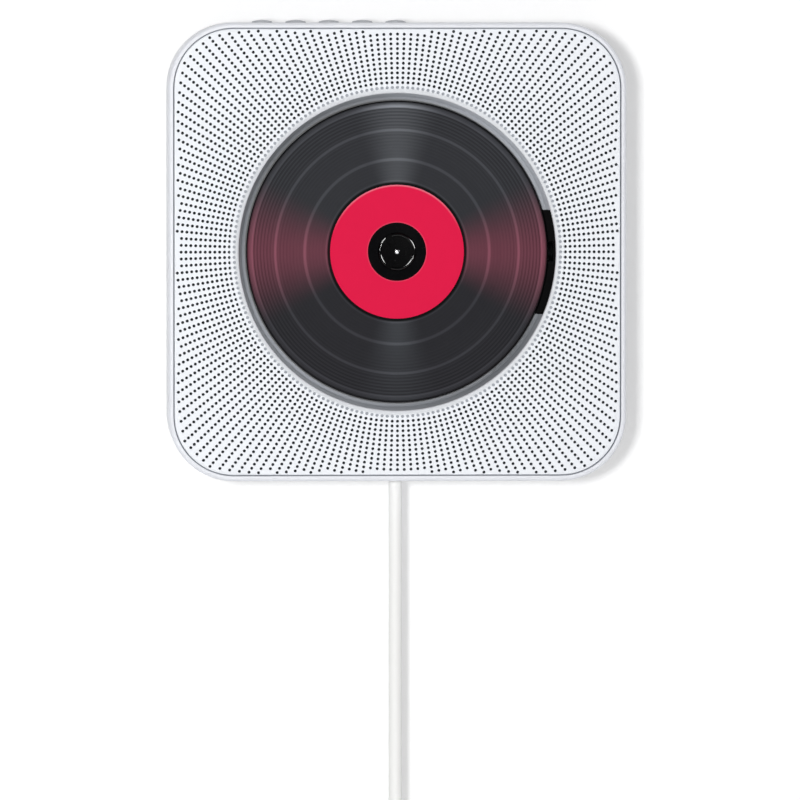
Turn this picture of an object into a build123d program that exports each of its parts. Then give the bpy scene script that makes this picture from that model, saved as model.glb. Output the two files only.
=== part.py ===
from build123d import *

# Wall mounted CD player with an open disc well, a perforated speaker panel and a pull cord switch.
# Millimetres. X is to the right, Z is up and the front faces -Y; the wall is the plane y = 0.
# A height "h" is a distance in front of the wall, so h = -y. The origin is the centre of the
# wall screws on the wall, which is also the centre of the square casing.

import os
from math import acos, asin, cos, pi, radians, sin, sqrt, tan

os.makedirs("parts", exist_ok=True)

# ------------------------------------------------------------------ clearances
plain_gap = 0.3  # between pieces that move past each other or only stand side by side
snug_gap = 0.02  # radial, between pieces pushed together
running_gap = 0.05  # radial, round a turning or sliding shaft

# ------------------------------------------------------------------ wall bracket
bracket_width = 100.0
bracket_height = 60.0
bracket_corner = 6.0
bracket_thickness = 3.0
screw_spacing_x = 80.0
screw_spacing_z = 40.0
screw_hole_radius = 2.4
screw_head_radius = 4.8
screw_head_depth = 1.8
hook_x = 25.0
hook_z = 16.0
hook_neck_radius = 2.5
hook_head_radius = 4.5
hook_head_thickness = 1.8
hook_play = 0.4  # along the depth, on each side of the cover's floor
lift_travel = 9.0

# ------------------------------------------------------------------ casing
body_side = 182.0
body_corner = 26.0
casing_wall = 2.0
rim_front = 43.5
rim_round = 1.2
cover_floor = 2.2
cover_edge = 3.0
cover_round = 1.8
cover_lip_height = 4.0
cover_lip_wall = 1.6
ledge_width = 3.0
ledge_thickness = 2.4

cover_back = bracket_thickness + hook_play
cover_inside = cover_back + cover_floor
cover_seam = cover_back + cover_edge
inner_side = body_side - 2 * casing_wall
inner_corner = body_corner - casing_wall
lip_side = inner_side - 2 * plain_gap
lip_corner = inner_corner - plain_gap
lip_bore_side = lip_side - 2 * cover_lip_wall
lip_bore_corner = lip_corner - cover_lip_wall
wall_inside = inner_side / 2

# ------------------------------------------------------------------ front panel and its cloth
panel_groove = 0.45
panel_sunk = 0.4
panel_thickness = 2.0
panel_edge_round = 0.35
panel_groove_depth = 0.8
well_edge_round = 0.6
grille_rays = 200
grille_margin = 2.3  # from the well's edge to the first ring of holes
grille_ring_step = 1.922
grille_hole_radius = 0.63
cloth_thickness = 0.4
cloth_margin = 0.25

panel_side = inner_side - 2 * panel_groove
panel_corner = inner_corner - panel_groove
panel_foot_side = inner_side - 2 * running_gap
panel_foot_corner = inner_corner - running_gap
panel_front = rim_front - panel_sunk
panel_back = panel_front - panel_thickness
cloth_back = panel_back - cloth_thickness
ledge_back = cloth_back - ledge_thickness

# ------------------------------------------------------------------ disc and well
disc_radius = 60.0
disc_well_gap = 3.0
disc_bore_radius = 7.5
disc_thickness = 1.1
print_thickness = 0.1
print_margin = 0.4
label_radius = 26.6
clear_hub_radius = 11.6
disc_sunk = 4.7
tray_flange_width = 3.5
tray_flange_thickness = 1.5
tray_wall = 1.6
tray_draft = 1.4
tray_floor_drop = 1.7
tray_floor_thickness = 2.0
tray_floor_round = 1.2
boss_radius = 3.6
boss_bore_radius = 1.2

well_radius = disc_radius + disc_well_gap
disc_face = panel_front - disc_sunk
print_back = disc_face - print_thickness
disc_back = print_back - disc_thickness
tray_floor_top = disc_back - tray_floor_drop
tray_floor_back = tray_floor_top - tray_floor_thickness
tray_radius = well_radius + tray_flange_width

# ------------------------------------------------------------------ pickup's place and travel
lens_start_x = 23.0
lens_edge_margin = 2.0  # from the lens at its outer end to the disc's edge
sled_behind_lens = 8.0
holder_half_length = 3.6
holder_half_height = 3.3

pickup_travel = disc_radius - lens_edge_margin - lens_start_x

# ------------------------------------------------------------------ mechanism cover
notch_top = 16.6
notch_bottom = -24.9
deck_left = -30.0
deck_end_wall = 2.0
deck_thickness = 1.8
deck_flange_width = 3.0
deck_flange_thickness = 0.8
lens_slot_gap = 0.7  # round the lens holder, along the slot's sides and at its end
turntable_well_radius = 17.0

lens_slot_half_width = holder_half_height + lens_slot_gap
lens_slot_end = lens_start_x + pickup_travel + holder_half_length + lens_slot_gap
deck_radius = well_radius + deck_end_wall
deck_flange_back = tray_floor_back - deck_flange_thickness

# ------------------------------------------------------------------ turntable and hub
turntable_radius = 15.5
turntable_thickness = 0.8
mat_thickness = 0.5
mat_bore_radius = 10.5
hub_boss_radius = 5.0
hub_boss_length = 4.4
hub_rise = 1.0  # above the disc's face
hub_rim_width = 1.2
hub_dish_depth = 0.9
spindle_radius = 1.0
spindle_drop = 0.3  # from the hub's top to the shaft's tip
claw_width = 2.4
claw_root_radius = 3.6
claw_travel = 0.4
claw_height = 1.5
claw_drop = 0.3  # from the hub's top to a claw's top
claw_count = 3

hub_radius = disc_bore_radius - 2 * running_gap
hub_top = disc_face + hub_rise
turntable_top = disc_back - mat_thickness
turntable_back = turntable_top - turntable_thickness
claw_top = hub_top - claw_drop
claw_back = claw_top - claw_height

# ------------------------------------------------------------------ chassis, rods and motors
gear_headroom = 0.7
wheel_thickness = 1.4
wheel_rack_gap = 0.2
rack_thickness = 1.6
rack_chassis_gap = 0.4
chassis_thickness = 2.0
chassis_left = -30.0
chassis_end_wall = 1.5
chassis_wall_gap = 5.0  # to the casing's right wall
chassis_bottom = -34.0
chassis_top_z = 21.0
chassis_corner = 3.0
window_start_gap = 1.0
window_end_gap = 2.0
window_bottom = -14.5
window_top = 17.0
window_corner = 2.0
ear_radius = 6.5
ear_hole_radius = 3.2
ear_points = [(-22.0, 24.0), (50.0, 24.0), (-22.0, -37.0), (34.0, -37.0)]
grommet_radius = 5.2
grommet_lip = 1.5
grommet_bore_radius = 2.2
shoulder_radius = 2.1
damper_head_radius = 4.0
damper_head_thickness = 1.6
damper_thread_length = 3.0
rod_drop = 3.0
main_rod_radius = 1.5
main_rod_z = 13.0
side_rod_radius = 1.0
side_rod_z = -10.0
lug_thickness = 2.5
lug_half_height = 3.5
lug_wall = 1.5
spindle_motor_radius = 11.5
spindle_motor_length = 9.0
sled_motor_radius = 8.5
sled_motor_length = 12.0
motor_boss_radius = 3.0
motor_hole_gap = 0.2
motor_end_wall = 0.5
sled_shaft_radius = 0.75
motor_edge_round = 0.8

wheel_top = deck_flange_back - gear_headroom
wheel_back = wheel_top - wheel_thickness
rack_top = wheel_back - wheel_rack_gap
rack_back = rack_top - rack_thickness
chassis_front = rack_back - rack_chassis_gap
chassis_back = chassis_front - chassis_thickness
rod_h = chassis_back - rod_drop
window_left = lens_start_x - sled_behind_lens - window_start_gap
chassis_right = wall_inside - chassis_wall_gap
window_right = chassis_right - chassis_end_wall - lug_thickness
sled_ahead_of_lens = window_right - window_end_gap - pickup_travel - lens_start_x
grommet_front = chassis_front + grommet_lip
grommet_back = chassis_back - grommet_lip

# ------------------------------------------------------------------ sled gears and rack
tooth_module = 0.5
pressure_angle = radians(20)
tooth_backlash = 0.2
addendum_share = 0.85
dedendum_share = 1.2
middle_pinion_teeth = 12
middle_wheel_teeth = 32
motor_gear_teeth = 8
gear_post_radius = 1.0
gear_post_stub = 0.3
gear_shoulder_radius = 1.8
gear_shoulder_height = 0.35
middle_gear_x = 41.0
rack_pitch_z = -15.0
motor_gear_angle = -30.0
rack_body_width = 2.0

middle_pinion_radius = tooth_module * middle_pinion_teeth / 2
middle_wheel_radius = tooth_module * middle_wheel_teeth / 2
motor_gear_radius = tooth_module * motor_gear_teeth / 2
middle_gear_z = rack_pitch_z - middle_pinion_radius
gear_centres = middle_wheel_radius + motor_gear_radius
motor_gear_x = middle_gear_x + gear_centres * cos(radians(motor_gear_angle))
motor_gear_z = middle_gear_z + gear_centres * sin(radians(motor_gear_angle))

# ------------------------------------------------------------------ pickup
sled_back_drop = 3.9  # from the rods' axis to the sled's back
sled_front_rise = 2.4
sled_bottom_z = -7.0
bearing_half_height = 3.4
neck_behind = 5.0
neck_end_gap = 6.0  # from the neck to the sled's right end
neck_bottom_z = -11.0
neck_top_z = 6.5
fork_half_length = 3.0
fork_half_height = 2.5
yoke_half_length = 5.0
yoke_wall = 1.0
yoke_half_height = 3.0
yoke_rise = 3.4
holder_corner = 0.8
holder_base_gap = 0.9
lens_radius = 2.4
lens_thickness = 0.8
lens_drop = 1.8  # from the disc's underside to the lens
focus_travel = 0.5
rack_end_gap = 1.5  # rack beyond the middle gear at both ends of the travel
rack_arm_gap = 1.0  # from the rack's arm to the neck's right end

rack_ahead = middle_gear_x - lens_start_x + rack_end_gap
rack_behind = pickup_travel - (middle_gear_x - lens_start_x) + rack_end_gap
neck_ahead = sled_ahead_of_lens - neck_end_gap
rack_arm_length = neck_ahead - rack_arm_gap
lens_front = disc_back - lens_drop
holder_front = lens_front - lens_thickness / 2

# ------------------------------------------------------------------ buttons and key board
button_pitch = 13.3
button_count = 5
button_radius = 4.05
button_rise = 1.1
button_dome = 0.7
button_h = 24.0
button_flange_radius = 5.0
button_flange_thickness = 1.2
button_stem_radius = 1.6
button_stem_length = 1.6
button_travel = 0.6
switch_side = 6.0
switch_height = 3.2
switch_plunger_radius = 1.75
switch_plunger_height = 1.2
board_thickness = 1.6
key_board_depth = 20.0
key_board_overhang = 3.0
key_post_radius = 2.2
key_post_reach = 8.4  # from the outer buttons' axes to the posts' axes

flange_top_z = wall_inside - plain_gap
flange_bottom_z = flange_top_z - button_flange_thickness
stem_bottom_z = flange_bottom_z - button_stem_length
plunger_top_z = stem_bottom_z - button_travel - running_gap
switch_top_z = plunger_top_z - switch_plunger_height
key_board_top_z = switch_top_z - switch_height
button_xs = [-button_pitch * (button_count - 1 - i) for i in range(button_count)]
key_post_xs = [button_xs[0] - key_post_reach, button_xs[-1] + key_post_reach]

# ------------------------------------------------------------------ posts and circuit boards
post_radius = 4.0
post_edge_gap = 2.0
post_z_top = 45.0
post_z_bottom = -40.0
post_rib = 3.0
tower_top = 12.0
post_front = 30.0
cover_screw_radius = 1.5
cover_screw_length = 15.0
cover_screw_head_radius = 2.9
cover_screw_head_thickness = 2.0
cover_screw_sink = 3.0
cover_screw_hole_gap = 0.2

post_x = wall_inside - post_edge_gap - post_radius
post_points = [(x, z) for x in (-post_x, post_x) for z in (post_z_bottom, post_z_top)]
screw_seat = cover_back + cover_screw_sink

standoff_radius = 2.6
standoff_height = 5.4
standoff_inset = 4.0
board_back = cover_inside + standoff_height
board_front = board_back + board_thickness
main_board_wall_gap = 11.0
main_board_z = 4.0
main_board_width = 48.0
main_board_height = 68.0
power_board_post_gap = 5.0
power_board_z = 47.0
power_board_width = 60.0
power_board_height = 38.0
# Parts on the main board: (x, z) from the board's centre, then width, height and thickness.
processor = (-6.0, 6.0, 14.0, 14.0, 1.6)
servo_driver = (10.0, 20.0, 10.0, 6.5, 2.0)
amplifier = (-8.0, -20.0, 9.0, 9.0, 1.6)
memory = (12.0, -2.0, 5.0, 6.0, 1.8)
pickup_socket = (18.0, 8.0, 4.0, 16.0, 4.0)
key_socket = (-4.0, 30.0, 12.0, 4.0, 5.0)
speaker_socket = (-10.0, -30.0, 10.0, 4.0, 6.0)
transformer_offset_x = -10.0
transformer_offset_z = 1.0
core_width = 24.0
core_height = 20.0
core_depth = 10.0
bobbin_width = 16.0
bobbin_depth = 14.0
capacitor_offset_x = 14.0
capacitor_radius = 5.0
capacitor_height = 12.0
capacitor_spacing = 12.0

main_board_x = -wall_inside + main_board_wall_gap + main_board_width / 2
power_board_x = post_x - post_radius - power_board_post_gap - power_board_width / 2
transformer_x = power_board_x + transformer_offset_x
transformer_z = power_board_z + transformer_offset_z
core_lift = (bobbin_depth - core_depth) / 2
capacitor_x = power_board_x + capacitor_offset_x

# ------------------------------------------------------------------ speakers
speaker_wall_gap = 7.5
speaker_tray_gap = 1.7
speaker_flange_thickness = 1.8
speaker_flange_width = 2.4
cone_margin = 2.0  # from the flange to the outermost holes over the cone
speaker_depth = 10.0
speaker_neck_radius = 8.5
speaker_frame_wall = 1.0
magnet_radius = 11.0
magnet_thickness = 8.0
cone_thickness = 0.5
cone_depth = 5.5
dust_cap_radius = 4.5
dust_cap_rise = 1.6
surround_rise = 1.0
surround_width = 2.2

# The speakers stand on the casing's diagonals and fill the room between the well and the walls.
speaker_reach = wall_inside - speaker_wall_gap
speaker_radius = (sqrt(2) * speaker_reach - tray_radius - speaker_tray_gap) / (1 + sqrt(2))
speaker_offset = speaker_reach - speaker_radius

# ------------------------------------------------------------------ pull switch
cord_radius = 2.7
bushing_radius = 5.0
bushing_flange_radius = 6.2
bushing_flange_thickness = 1.2
pull_travel = 6.0
relief_length = 20.0
relief_tip_radius = 3.5
relief_root_radius = 5.2
relief_gap = 0.8  # left above the bushing when the cord is pulled
slider_width = 16.0
slider_depth = 14.0
slider_height = 11.0
guide_wall = 2.6
guide_tray_gap = 1.6
guide_flange = 2.0
spring_wire_radius = 0.55
spring_radius = 6.6
spring_length = 14.0
spring_turns = 6
microswitch_width = 12.8
microswitch_depth = 6.5
microswitch_height = 9.0
plunger_radius = 1.0

cord_h = tray_floor_back - guide_tray_gap - guide_wall - plain_gap - slider_depth / 2
bushing_top_z = -wall_inside + bushing_flange_thickness
relief_bottom_z = bushing_top_z + pull_travel + relief_gap
slider_bottom_z = relief_bottom_z + relief_length
slider_top_z = slider_bottom_z + slider_height
spring_bottom_z = slider_bottom_z - spring_length
guide_bottom_z = spring_bottom_z - guide_flange
guide_inside_top_z = slider_top_z + plain_gap
guide_top_z = guide_inside_top_z + guide_flange

# ------------------------------------------------------------------ cord, coil and plug
coil_z = -291.6
coil_mean_low = 22.0
coil_mean_high = 40.5
coil_layer_step = 5.6
coil_round = 2.4
# The cord hangs straight, then swings round to the right and meets the coil's outer turn.
cord_points = [
    (0.0, relief_bottom_z),
    (0.0, -231.1),
    (11.9, -251.7),
    (32.5, -263.6),
]
cord_arc_share = 0.45  # of the shorter run beside a bend, taken by the bend's arc
tail_length = 24.4
tie_width = 8.0
tie_thickness = 1.0
plug_boot_length = 18.0
plug_boot_radius = 4.8
plug_width = 26.0
plug_depth = 17.0
plug_length = 19.0
plug_corner = 5.0
plug_edge_round = 2.0
pin_spacing = 12.7
pin_width = 1.5
pin_depth = 6.3
pin_length = 17.0
pin_tip = 0.5

coil_outer = coil_mean_high + cord_radius
coil_inner = coil_mean_low - cord_radius
coil_back = cord_h - cord_radius
coil_thickness = coil_layer_step + 2 * cord_radius
tail_h = cord_h + coil_layer_step
tail_bottom_z = coil_z - tail_length
plug_top_z = tail_bottom_z - plug_boot_length
plug_bottom_z = plug_top_z - plug_length


# ------------------------------------------------------------------ helpers
def front_plane(h):
    """The plane parallel to the wall at distance h, with its normal towards the front."""
    return Plane.XZ.offset(h)


def axis_plane(x, z):
    """A plane for profiles (radius, -h) that are turned about a line square to the wall."""
    return Plane(origin=(x, 0, z), x_dir=(1, 0, 0), z_dir=(0, 0, 1))


def spot_plane(x, z, h, turn=0):
    """A plane parallel to the wall with its origin at (x, z), at distance h, turned in itself."""
    across = (cos(radians(turn)), 0, sin(radians(turn)))
    return Plane(origin=(x, -h, z), x_dir=across, z_dir=(0, -1, 0))


def turning_axis(x, z):
    """The line square to the wall through (x, z)."""
    return Axis((x, 0, z), (0, 1, 0))


def upright_plane(x, h):
    """A plane for profiles (radius, z) that are turned about an upright line."""
    return Plane(origin=(x, -h, 0), x_dir=(1, 0, 0), z_dir=(0, -1, 0))


def upright_axis(x, h):
    """The upright line at (x, h)."""
    return Axis((x, -h, 0), (0, 0, 1))


def finish(piece, name):
    """Labels a finished piece and writes it as its own STEP file."""
    piece.part.label = name
    export_step(piece.part, f"parts/{name}.step")


def dome_point(radius, rise):
    """The point halfway along a dome's arc, which starts at (radius, 0) and ends at (0, rise)."""
    dome_radius = (radius**2 + rise**2) / (2 * rise)
    half_angle = asin(radius / dome_radius) / 2
    return dome_radius * sin(half_angle), rise - dome_radius * (1 - cos(half_angle))


def involute(angle):
    """The involute function of a pressure angle."""
    return tan(angle) - angle


def gear_outline(teeth, first_tooth_angle):
    """Corner points of a spur gear's outline, four to a tooth, with a tooth at the given angle."""
    pitch_radius = tooth_module * teeth / 2
    base_radius = pitch_radius * cos(pressure_angle)
    tip_radius = pitch_radius + addendum_share * tooth_module
    root_radius = pitch_radius - dedendum_share * tooth_module
    thickness_angle = pi / (2 * teeth) - tooth_backlash / (4 * pitch_radius)
    tip_half = thickness_angle + involute(pressure_angle) - involute(acos(base_radius / tip_radius))
    root_half = thickness_angle + involute(pressure_angle)
    points = []
    for tooth in range(teeth):
        middle = radians(first_tooth_angle) + 2 * pi * tooth / teeth
        for radius, offset in (
            (root_radius, -root_half),
            (tip_radius, -tip_half),
            (tip_radius, tip_half),
            (root_radius, root_half),
        ):
            points.append((radius * cos(middle + offset), radius * sin(middle + offset)))
    return points


# ------------------------------------------------------------------ wall bracket
hook_points = [(-hook_x, hook_z), (hook_x, hook_z)]
hook_neck_front = cover_inside + hook_play

with BuildPart() as wall_bracket:
    with BuildSketch(front_plane(0)):
        RectangleRounded(bracket_width, bracket_height, bracket_corner)
    extrude(amount=bracket_thickness)
    chamfer(wall_bracket.faces().sort_by(Axis.Y)[0].edges(), length=bracket_thickness / 6)
    with Locations(front_plane(bracket_thickness)):
        with GridLocations(screw_spacing_x, screw_spacing_z, 2, 2):
            CounterBoreHole(screw_hole_radius, screw_head_radius, screw_head_depth)
    with BuildSketch(front_plane(bracket_thickness)):
        with Locations(*hook_points):
            Circle(hook_neck_radius)
    extrude(amount=hook_neck_front - bracket_thickness)
    with BuildSketch(front_plane(hook_neck_front)):
        with Locations(*hook_points):
            Circle(hook_head_radius)
    extrude(amount=hook_head_thickness)
    chamfer(wall_bracket.faces().sort_by(Axis.Y)[0:2].edges(), length=hook_head_thickness / 4)
finish(wall_bracket, "wall_bracket")

# ------------------------------------------------------------------ rear cover
standoff_points = [
    (board_x + side_x * (width / 2 - standoff_inset), board_z + side_z * (height / 2 - standoff_inset))
    for board_x, board_z, width, height in (
        (main_board_x, main_board_z, main_board_width, main_board_height),
        (power_board_x, power_board_z, power_board_width, power_board_height),
    )
    for side_x in (-1, 1)
    for side_z in (-1, 1)
]

with BuildPart() as rear_cover:
    with BuildSketch(front_plane(cover_back)):
        RectangleRounded(body_side, body_side, body_corner)
    extrude(amount=cover_edge)
    fillet(rear_cover.faces().sort_by(Axis.Y)[-1].edges(), radius=cover_round)
    with BuildSketch(front_plane(cover_seam)):
        RectangleRounded(lip_side, lip_side, lip_corner)
    extrude(amount=cover_lip_height)
    with BuildSketch(front_plane(cover_inside)):
        RectangleRounded(lip_bore_side, lip_bore_side, lip_bore_corner)
    extrude(amount=cover_edge + cover_lip_height, mode=Mode.SUBTRACT)
    # Towers that take the cover screws, and standoffs under the circuit boards.
    with BuildSketch(front_plane(cover_inside)):
        with Locations(*post_points):
            Circle(post_radius)
    extrude(amount=tower_top - cover_inside)
    with BuildSketch(front_plane(cover_inside)):
        with Locations(*standoff_points):
            Circle(standoff_radius)
    extrude(amount=standoff_height)
    with BuildSketch(front_plane(cover_back)):
        with Locations(*post_points):
            Circle(cover_screw_radius + cover_screw_hole_gap)
    extrude(amount=tower_top - cover_back, mode=Mode.SUBTRACT)
    with BuildSketch(front_plane(cover_back)):
        with Locations(*post_points):
            Circle(cover_screw_head_radius + cover_screw_hole_gap)
    extrude(amount=cover_screw_sink, mode=Mode.SUBTRACT)
    # Keyholes: the hooks pass the round entries and rest at the slots' upper ends.
    slot_half = hook_neck_radius + plain_gap
    with BuildSketch(front_plane(cover_back)):
        with Locations(*[(x, z - lift_travel) for x, z in hook_points]):
            Circle(hook_head_radius + plain_gap)
        with Locations(*[(x, z - lift_travel / 2) for x, z in hook_points]):
            Rectangle(2 * slot_half, lift_travel)
        with Locations(*hook_points):
            Circle(slot_half)
    extrude(amount=cover_floor, mode=Mode.SUBTRACT)
finish(rear_cover, "rear_cover")

with BuildPart() as cover_screws:
    with BuildSketch(front_plane(screw_seat)):
        with Locations(*post_points):
            Circle(cover_screw_radius)
    extrude(amount=cover_screw_length)
    with BuildSketch(front_plane(screw_seat)):
        with Locations(*post_points):
            Circle(cover_screw_head_radius)
    extrude(amount=-cover_screw_head_thickness)
    chamfer(
        cover_screws.faces().filter_by(Axis.Y).group_by(Axis.Y)[-1].edges(),
        length=cover_screw_head_thickness / 4,
    )
    cross_width = cover_screw_head_radius / 3
    with BuildSketch(front_plane(screw_seat - cover_screw_head_thickness)):
        with Locations(*post_points):
            Rectangle(cover_screw_head_radius, cross_width)
            Rectangle(cross_width, cover_screw_head_radius)
    extrude(amount=cover_screw_head_thickness / 2, mode=Mode.SUBTRACT)
finish(cover_screws, "cover_screws")

# ------------------------------------------------------------------ housing
with BuildPart() as housing:
    with BuildSketch(front_plane(cover_seam)):
        RectangleRounded(body_side, body_side, body_corner)
    extrude(amount=rim_front - cover_seam)
    fillet(housing.faces().sort_by(Axis.Y)[0].edges(), radius=rim_round)
    with BuildSketch(front_plane(cover_seam)):
        RectangleRounded(inner_side, inner_side, inner_corner)
    extrude(amount=rim_front - cover_seam, mode=Mode.SUBTRACT)
    # The ledge that carries the cloth and the front panel.
    with BuildSketch(front_plane(ledge_back)):
        RectangleRounded(inner_side, inner_side, inner_corner)
        ledge_side = inner_side - 2 * ledge_width
        RectangleRounded(ledge_side, ledge_side, inner_corner - ledge_width, mode=Mode.SUBTRACT)
    extrude(amount=ledge_thickness)
    # Screw posts, each tied to the side wall by a rib.
    with BuildSketch(front_plane(tower_top)):
        with Locations(*post_points):
            Circle(post_radius)
        for x, z in post_points:
            rib_length = wall_inside - abs(x)
            with Locations((x + rib_length / 2 * (1 if x > 0 else -1), z)):
                Rectangle(rib_length, post_rib)
    extrude(amount=post_front - tower_top)
    with BuildSketch(front_plane(tower_top)):
        with Locations(*post_points):
            Circle(cover_screw_radius + snug_gap)
    extrude(amount=screw_seat + cover_screw_length - tower_top + plain_gap, mode=Mode.SUBTRACT)
    # Posts under the top wall for the key board.
    with BuildSketch(Plane.XY.offset(key_board_top_z)):
        with Locations(*[(x, -button_h) for x in key_post_xs]):
            Circle(key_post_radius)
    extrude(amount=wall_inside - key_board_top_z)
    # Button holes in the top wall and the cord's bushing hole in the bottom wall.
    with BuildSketch(Plane.XY.offset(wall_inside)):
        with Locations(*[(x, -button_h) for x in button_xs]):
            Circle(button_radius + plain_gap)
    extrude(amount=casing_wall, mode=Mode.SUBTRACT)
    with BuildSketch(Plane.XY.offset(-body_side / 2)):
        with Locations((0, -cord_h)):
            Circle(bushing_radius + snug_gap)
    extrude(amount=casing_wall, mode=Mode.SUBTRACT)
finish(housing, "housing")

# ------------------------------------------------------------------ front panel and cloth
grille_centres = []
for ring in range(int((body_side / 2 - well_radius) * sqrt(2) / grille_ring_step)):
    ring_radius = well_radius + grille_margin + grille_ring_step * ring
    for ray in range(grille_rays):
        ray_angle = 2 * pi * ray / grille_rays
        x = ring_radius * cos(ray_angle)
        z = ring_radius * sin(ray_angle)
        off_speaker = sqrt((abs(x) - speaker_offset) ** 2 + (abs(z) - speaker_offset) ** 2)
        if off_speaker < speaker_radius - speaker_flange_width - cone_margin:
            grille_centres.append((x, z))

with BuildPart() as front_panel:
    with BuildSketch(front_plane(panel_back)):
        RectangleRounded(panel_side, panel_side, panel_corner)
    extrude(amount=panel_thickness)
    fillet(front_panel.faces().sort_by(Axis.Y)[0].edges(), radius=panel_edge_round)
    # A foot round the panel closes the groove against the casing.
    with BuildSketch(front_plane(panel_back)):
        RectangleRounded(panel_foot_side, panel_foot_side, panel_foot_corner)
    extrude(amount=panel_thickness - panel_groove_depth)
    with BuildSketch(front_plane(panel_back)):
        Circle(well_radius)
    extrude(amount=panel_thickness, mode=Mode.SUBTRACT)
    mouth = front_panel.faces().sort_by(Axis.Y)[0].edges().filter_by(GeomType.CIRCLE).sort_by(Edge.length)
    fillet(mouth[-1], radius=well_edge_round)
    # Rings of small holes over the speakers.
    with BuildSketch(front_plane(panel_back)):
        with Locations(*grille_centres):
            Circle(grille_hole_radius)
    extrude(amount=panel_thickness, mode=Mode.SUBTRACT)
finish(front_panel, "front_panel")

with BuildPart() as grille_cloth:
    cloth_side = inner_side - 2 * cloth_margin
    with BuildSketch(front_plane(cloth_back)):
        RectangleRounded(cloth_side, cloth_side, inner_corner - cloth_margin)
        Circle(tray_radius + plain_gap, mode=Mode.SUBTRACT)
    extrude(amount=cloth_thickness)
finish(grille_cloth, "grille_cloth")

# ------------------------------------------------------------------ well tray
floor_radius = well_radius - tray_draft
notch_height = notch_top - notch_bottom
notch_z = (notch_top + notch_bottom) / 2
tray_cut_length = tray_radius - deck_left

with BuildPart() as well_tray:
    with BuildSketch(axis_plane(0, 0)):
        with BuildLine():
            Polyline(
                (0, -tray_floor_back),
                (floor_radius + tray_wall, -tray_floor_back),
                (well_radius + tray_wall, -(panel_back - tray_flange_thickness)),
                (tray_radius, -(panel_back - tray_flange_thickness)),
                (tray_radius, -panel_back),
                (well_radius, -panel_back),
                (floor_radius, -tray_floor_top),
                (0, -tray_floor_top),
                close=True,
            )
        make_face()
    revolve(axis=turning_axis(0, 0))
    floor_face = well_tray.faces().filter_by(Axis.Y).group_by(Axis.Y)[2]
    fillet(floor_face.edges().filter_by(GeomType.CIRCLE), radius=tray_floor_round)
    # Bosses for the mechanism's damper screws.
    with BuildSketch(front_plane(grommet_front)):
        with Locations(*ear_points):
            Circle(boss_radius)
    extrude(amount=tray_floor_back - grommet_front)
    with BuildSketch(front_plane(grommet_front)):
        with Locations(*ear_points):
            Circle(boss_bore_radius + snug_gap)
    extrude(amount=damper_thread_length + plain_gap, mode=Mode.SUBTRACT)
    # The mechanism cover fills this opening, through the floor and out through the wall.
    with BuildSketch(front_plane(tray_floor_back)):
        with Locations(((tray_radius + deck_left) / 2, notch_z)):
            Rectangle(tray_cut_length, notch_height)
    extrude(amount=panel_back - tray_floor_back, mode=Mode.SUBTRACT)
finish(well_tray, "well_tray")

# ------------------------------------------------------------------ mechanism cover
with BuildPart() as mechanism_cover:
    deck_length = deck_radius - deck_left - plain_gap
    deck_x = deck_left + plain_gap + deck_length / 2
    with BuildSketch(front_plane(deck_flange_back)):
        with Locations((deck_x, notch_z)):
            Rectangle(deck_length + 2 * deck_flange_width, notch_height + 2 * deck_flange_width)
        Circle(deck_radius, mode=Mode.INTERSECT)
    extrude(amount=deck_flange_thickness)
    with BuildSketch(front_plane(tray_floor_back)):
        with Locations((deck_x, notch_z)):
            Rectangle(deck_length, notch_height - 2 * plain_gap)
        Circle(deck_radius, mode=Mode.INTERSECT)
    extrude(amount=deck_thickness)
    # The end wall closes the notch in the well's side, up to the front panel.
    with BuildSketch(front_plane(tray_floor_back)):
        with Locations((deck_radius / 2, notch_z)):
            Rectangle(deck_radius, notch_height - 2 * plain_gap)
        Circle(deck_radius, mode=Mode.INTERSECT)
        Circle(well_radius, mode=Mode.SUBTRACT)
    extrude(amount=panel_back - tray_floor_back)
    # One opening for the turntable and the lens.
    with BuildSketch(front_plane(deck_flange_back)):
        Circle(turntable_well_radius)
        with Locations((lens_slot_end / 2, 0)):
            Rectangle(lens_slot_end, 2 * lens_slot_half_width)
    extrude(amount=deck_flange_thickness + deck_thickness, mode=Mode.SUBTRACT)
finish(mechanism_cover, "mechanism_cover")

# ------------------------------------------------------------------ chassis
lug_xs = [window_left - lug_thickness, window_right]
lug_back = rod_h - main_rod_radius - lug_wall

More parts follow.
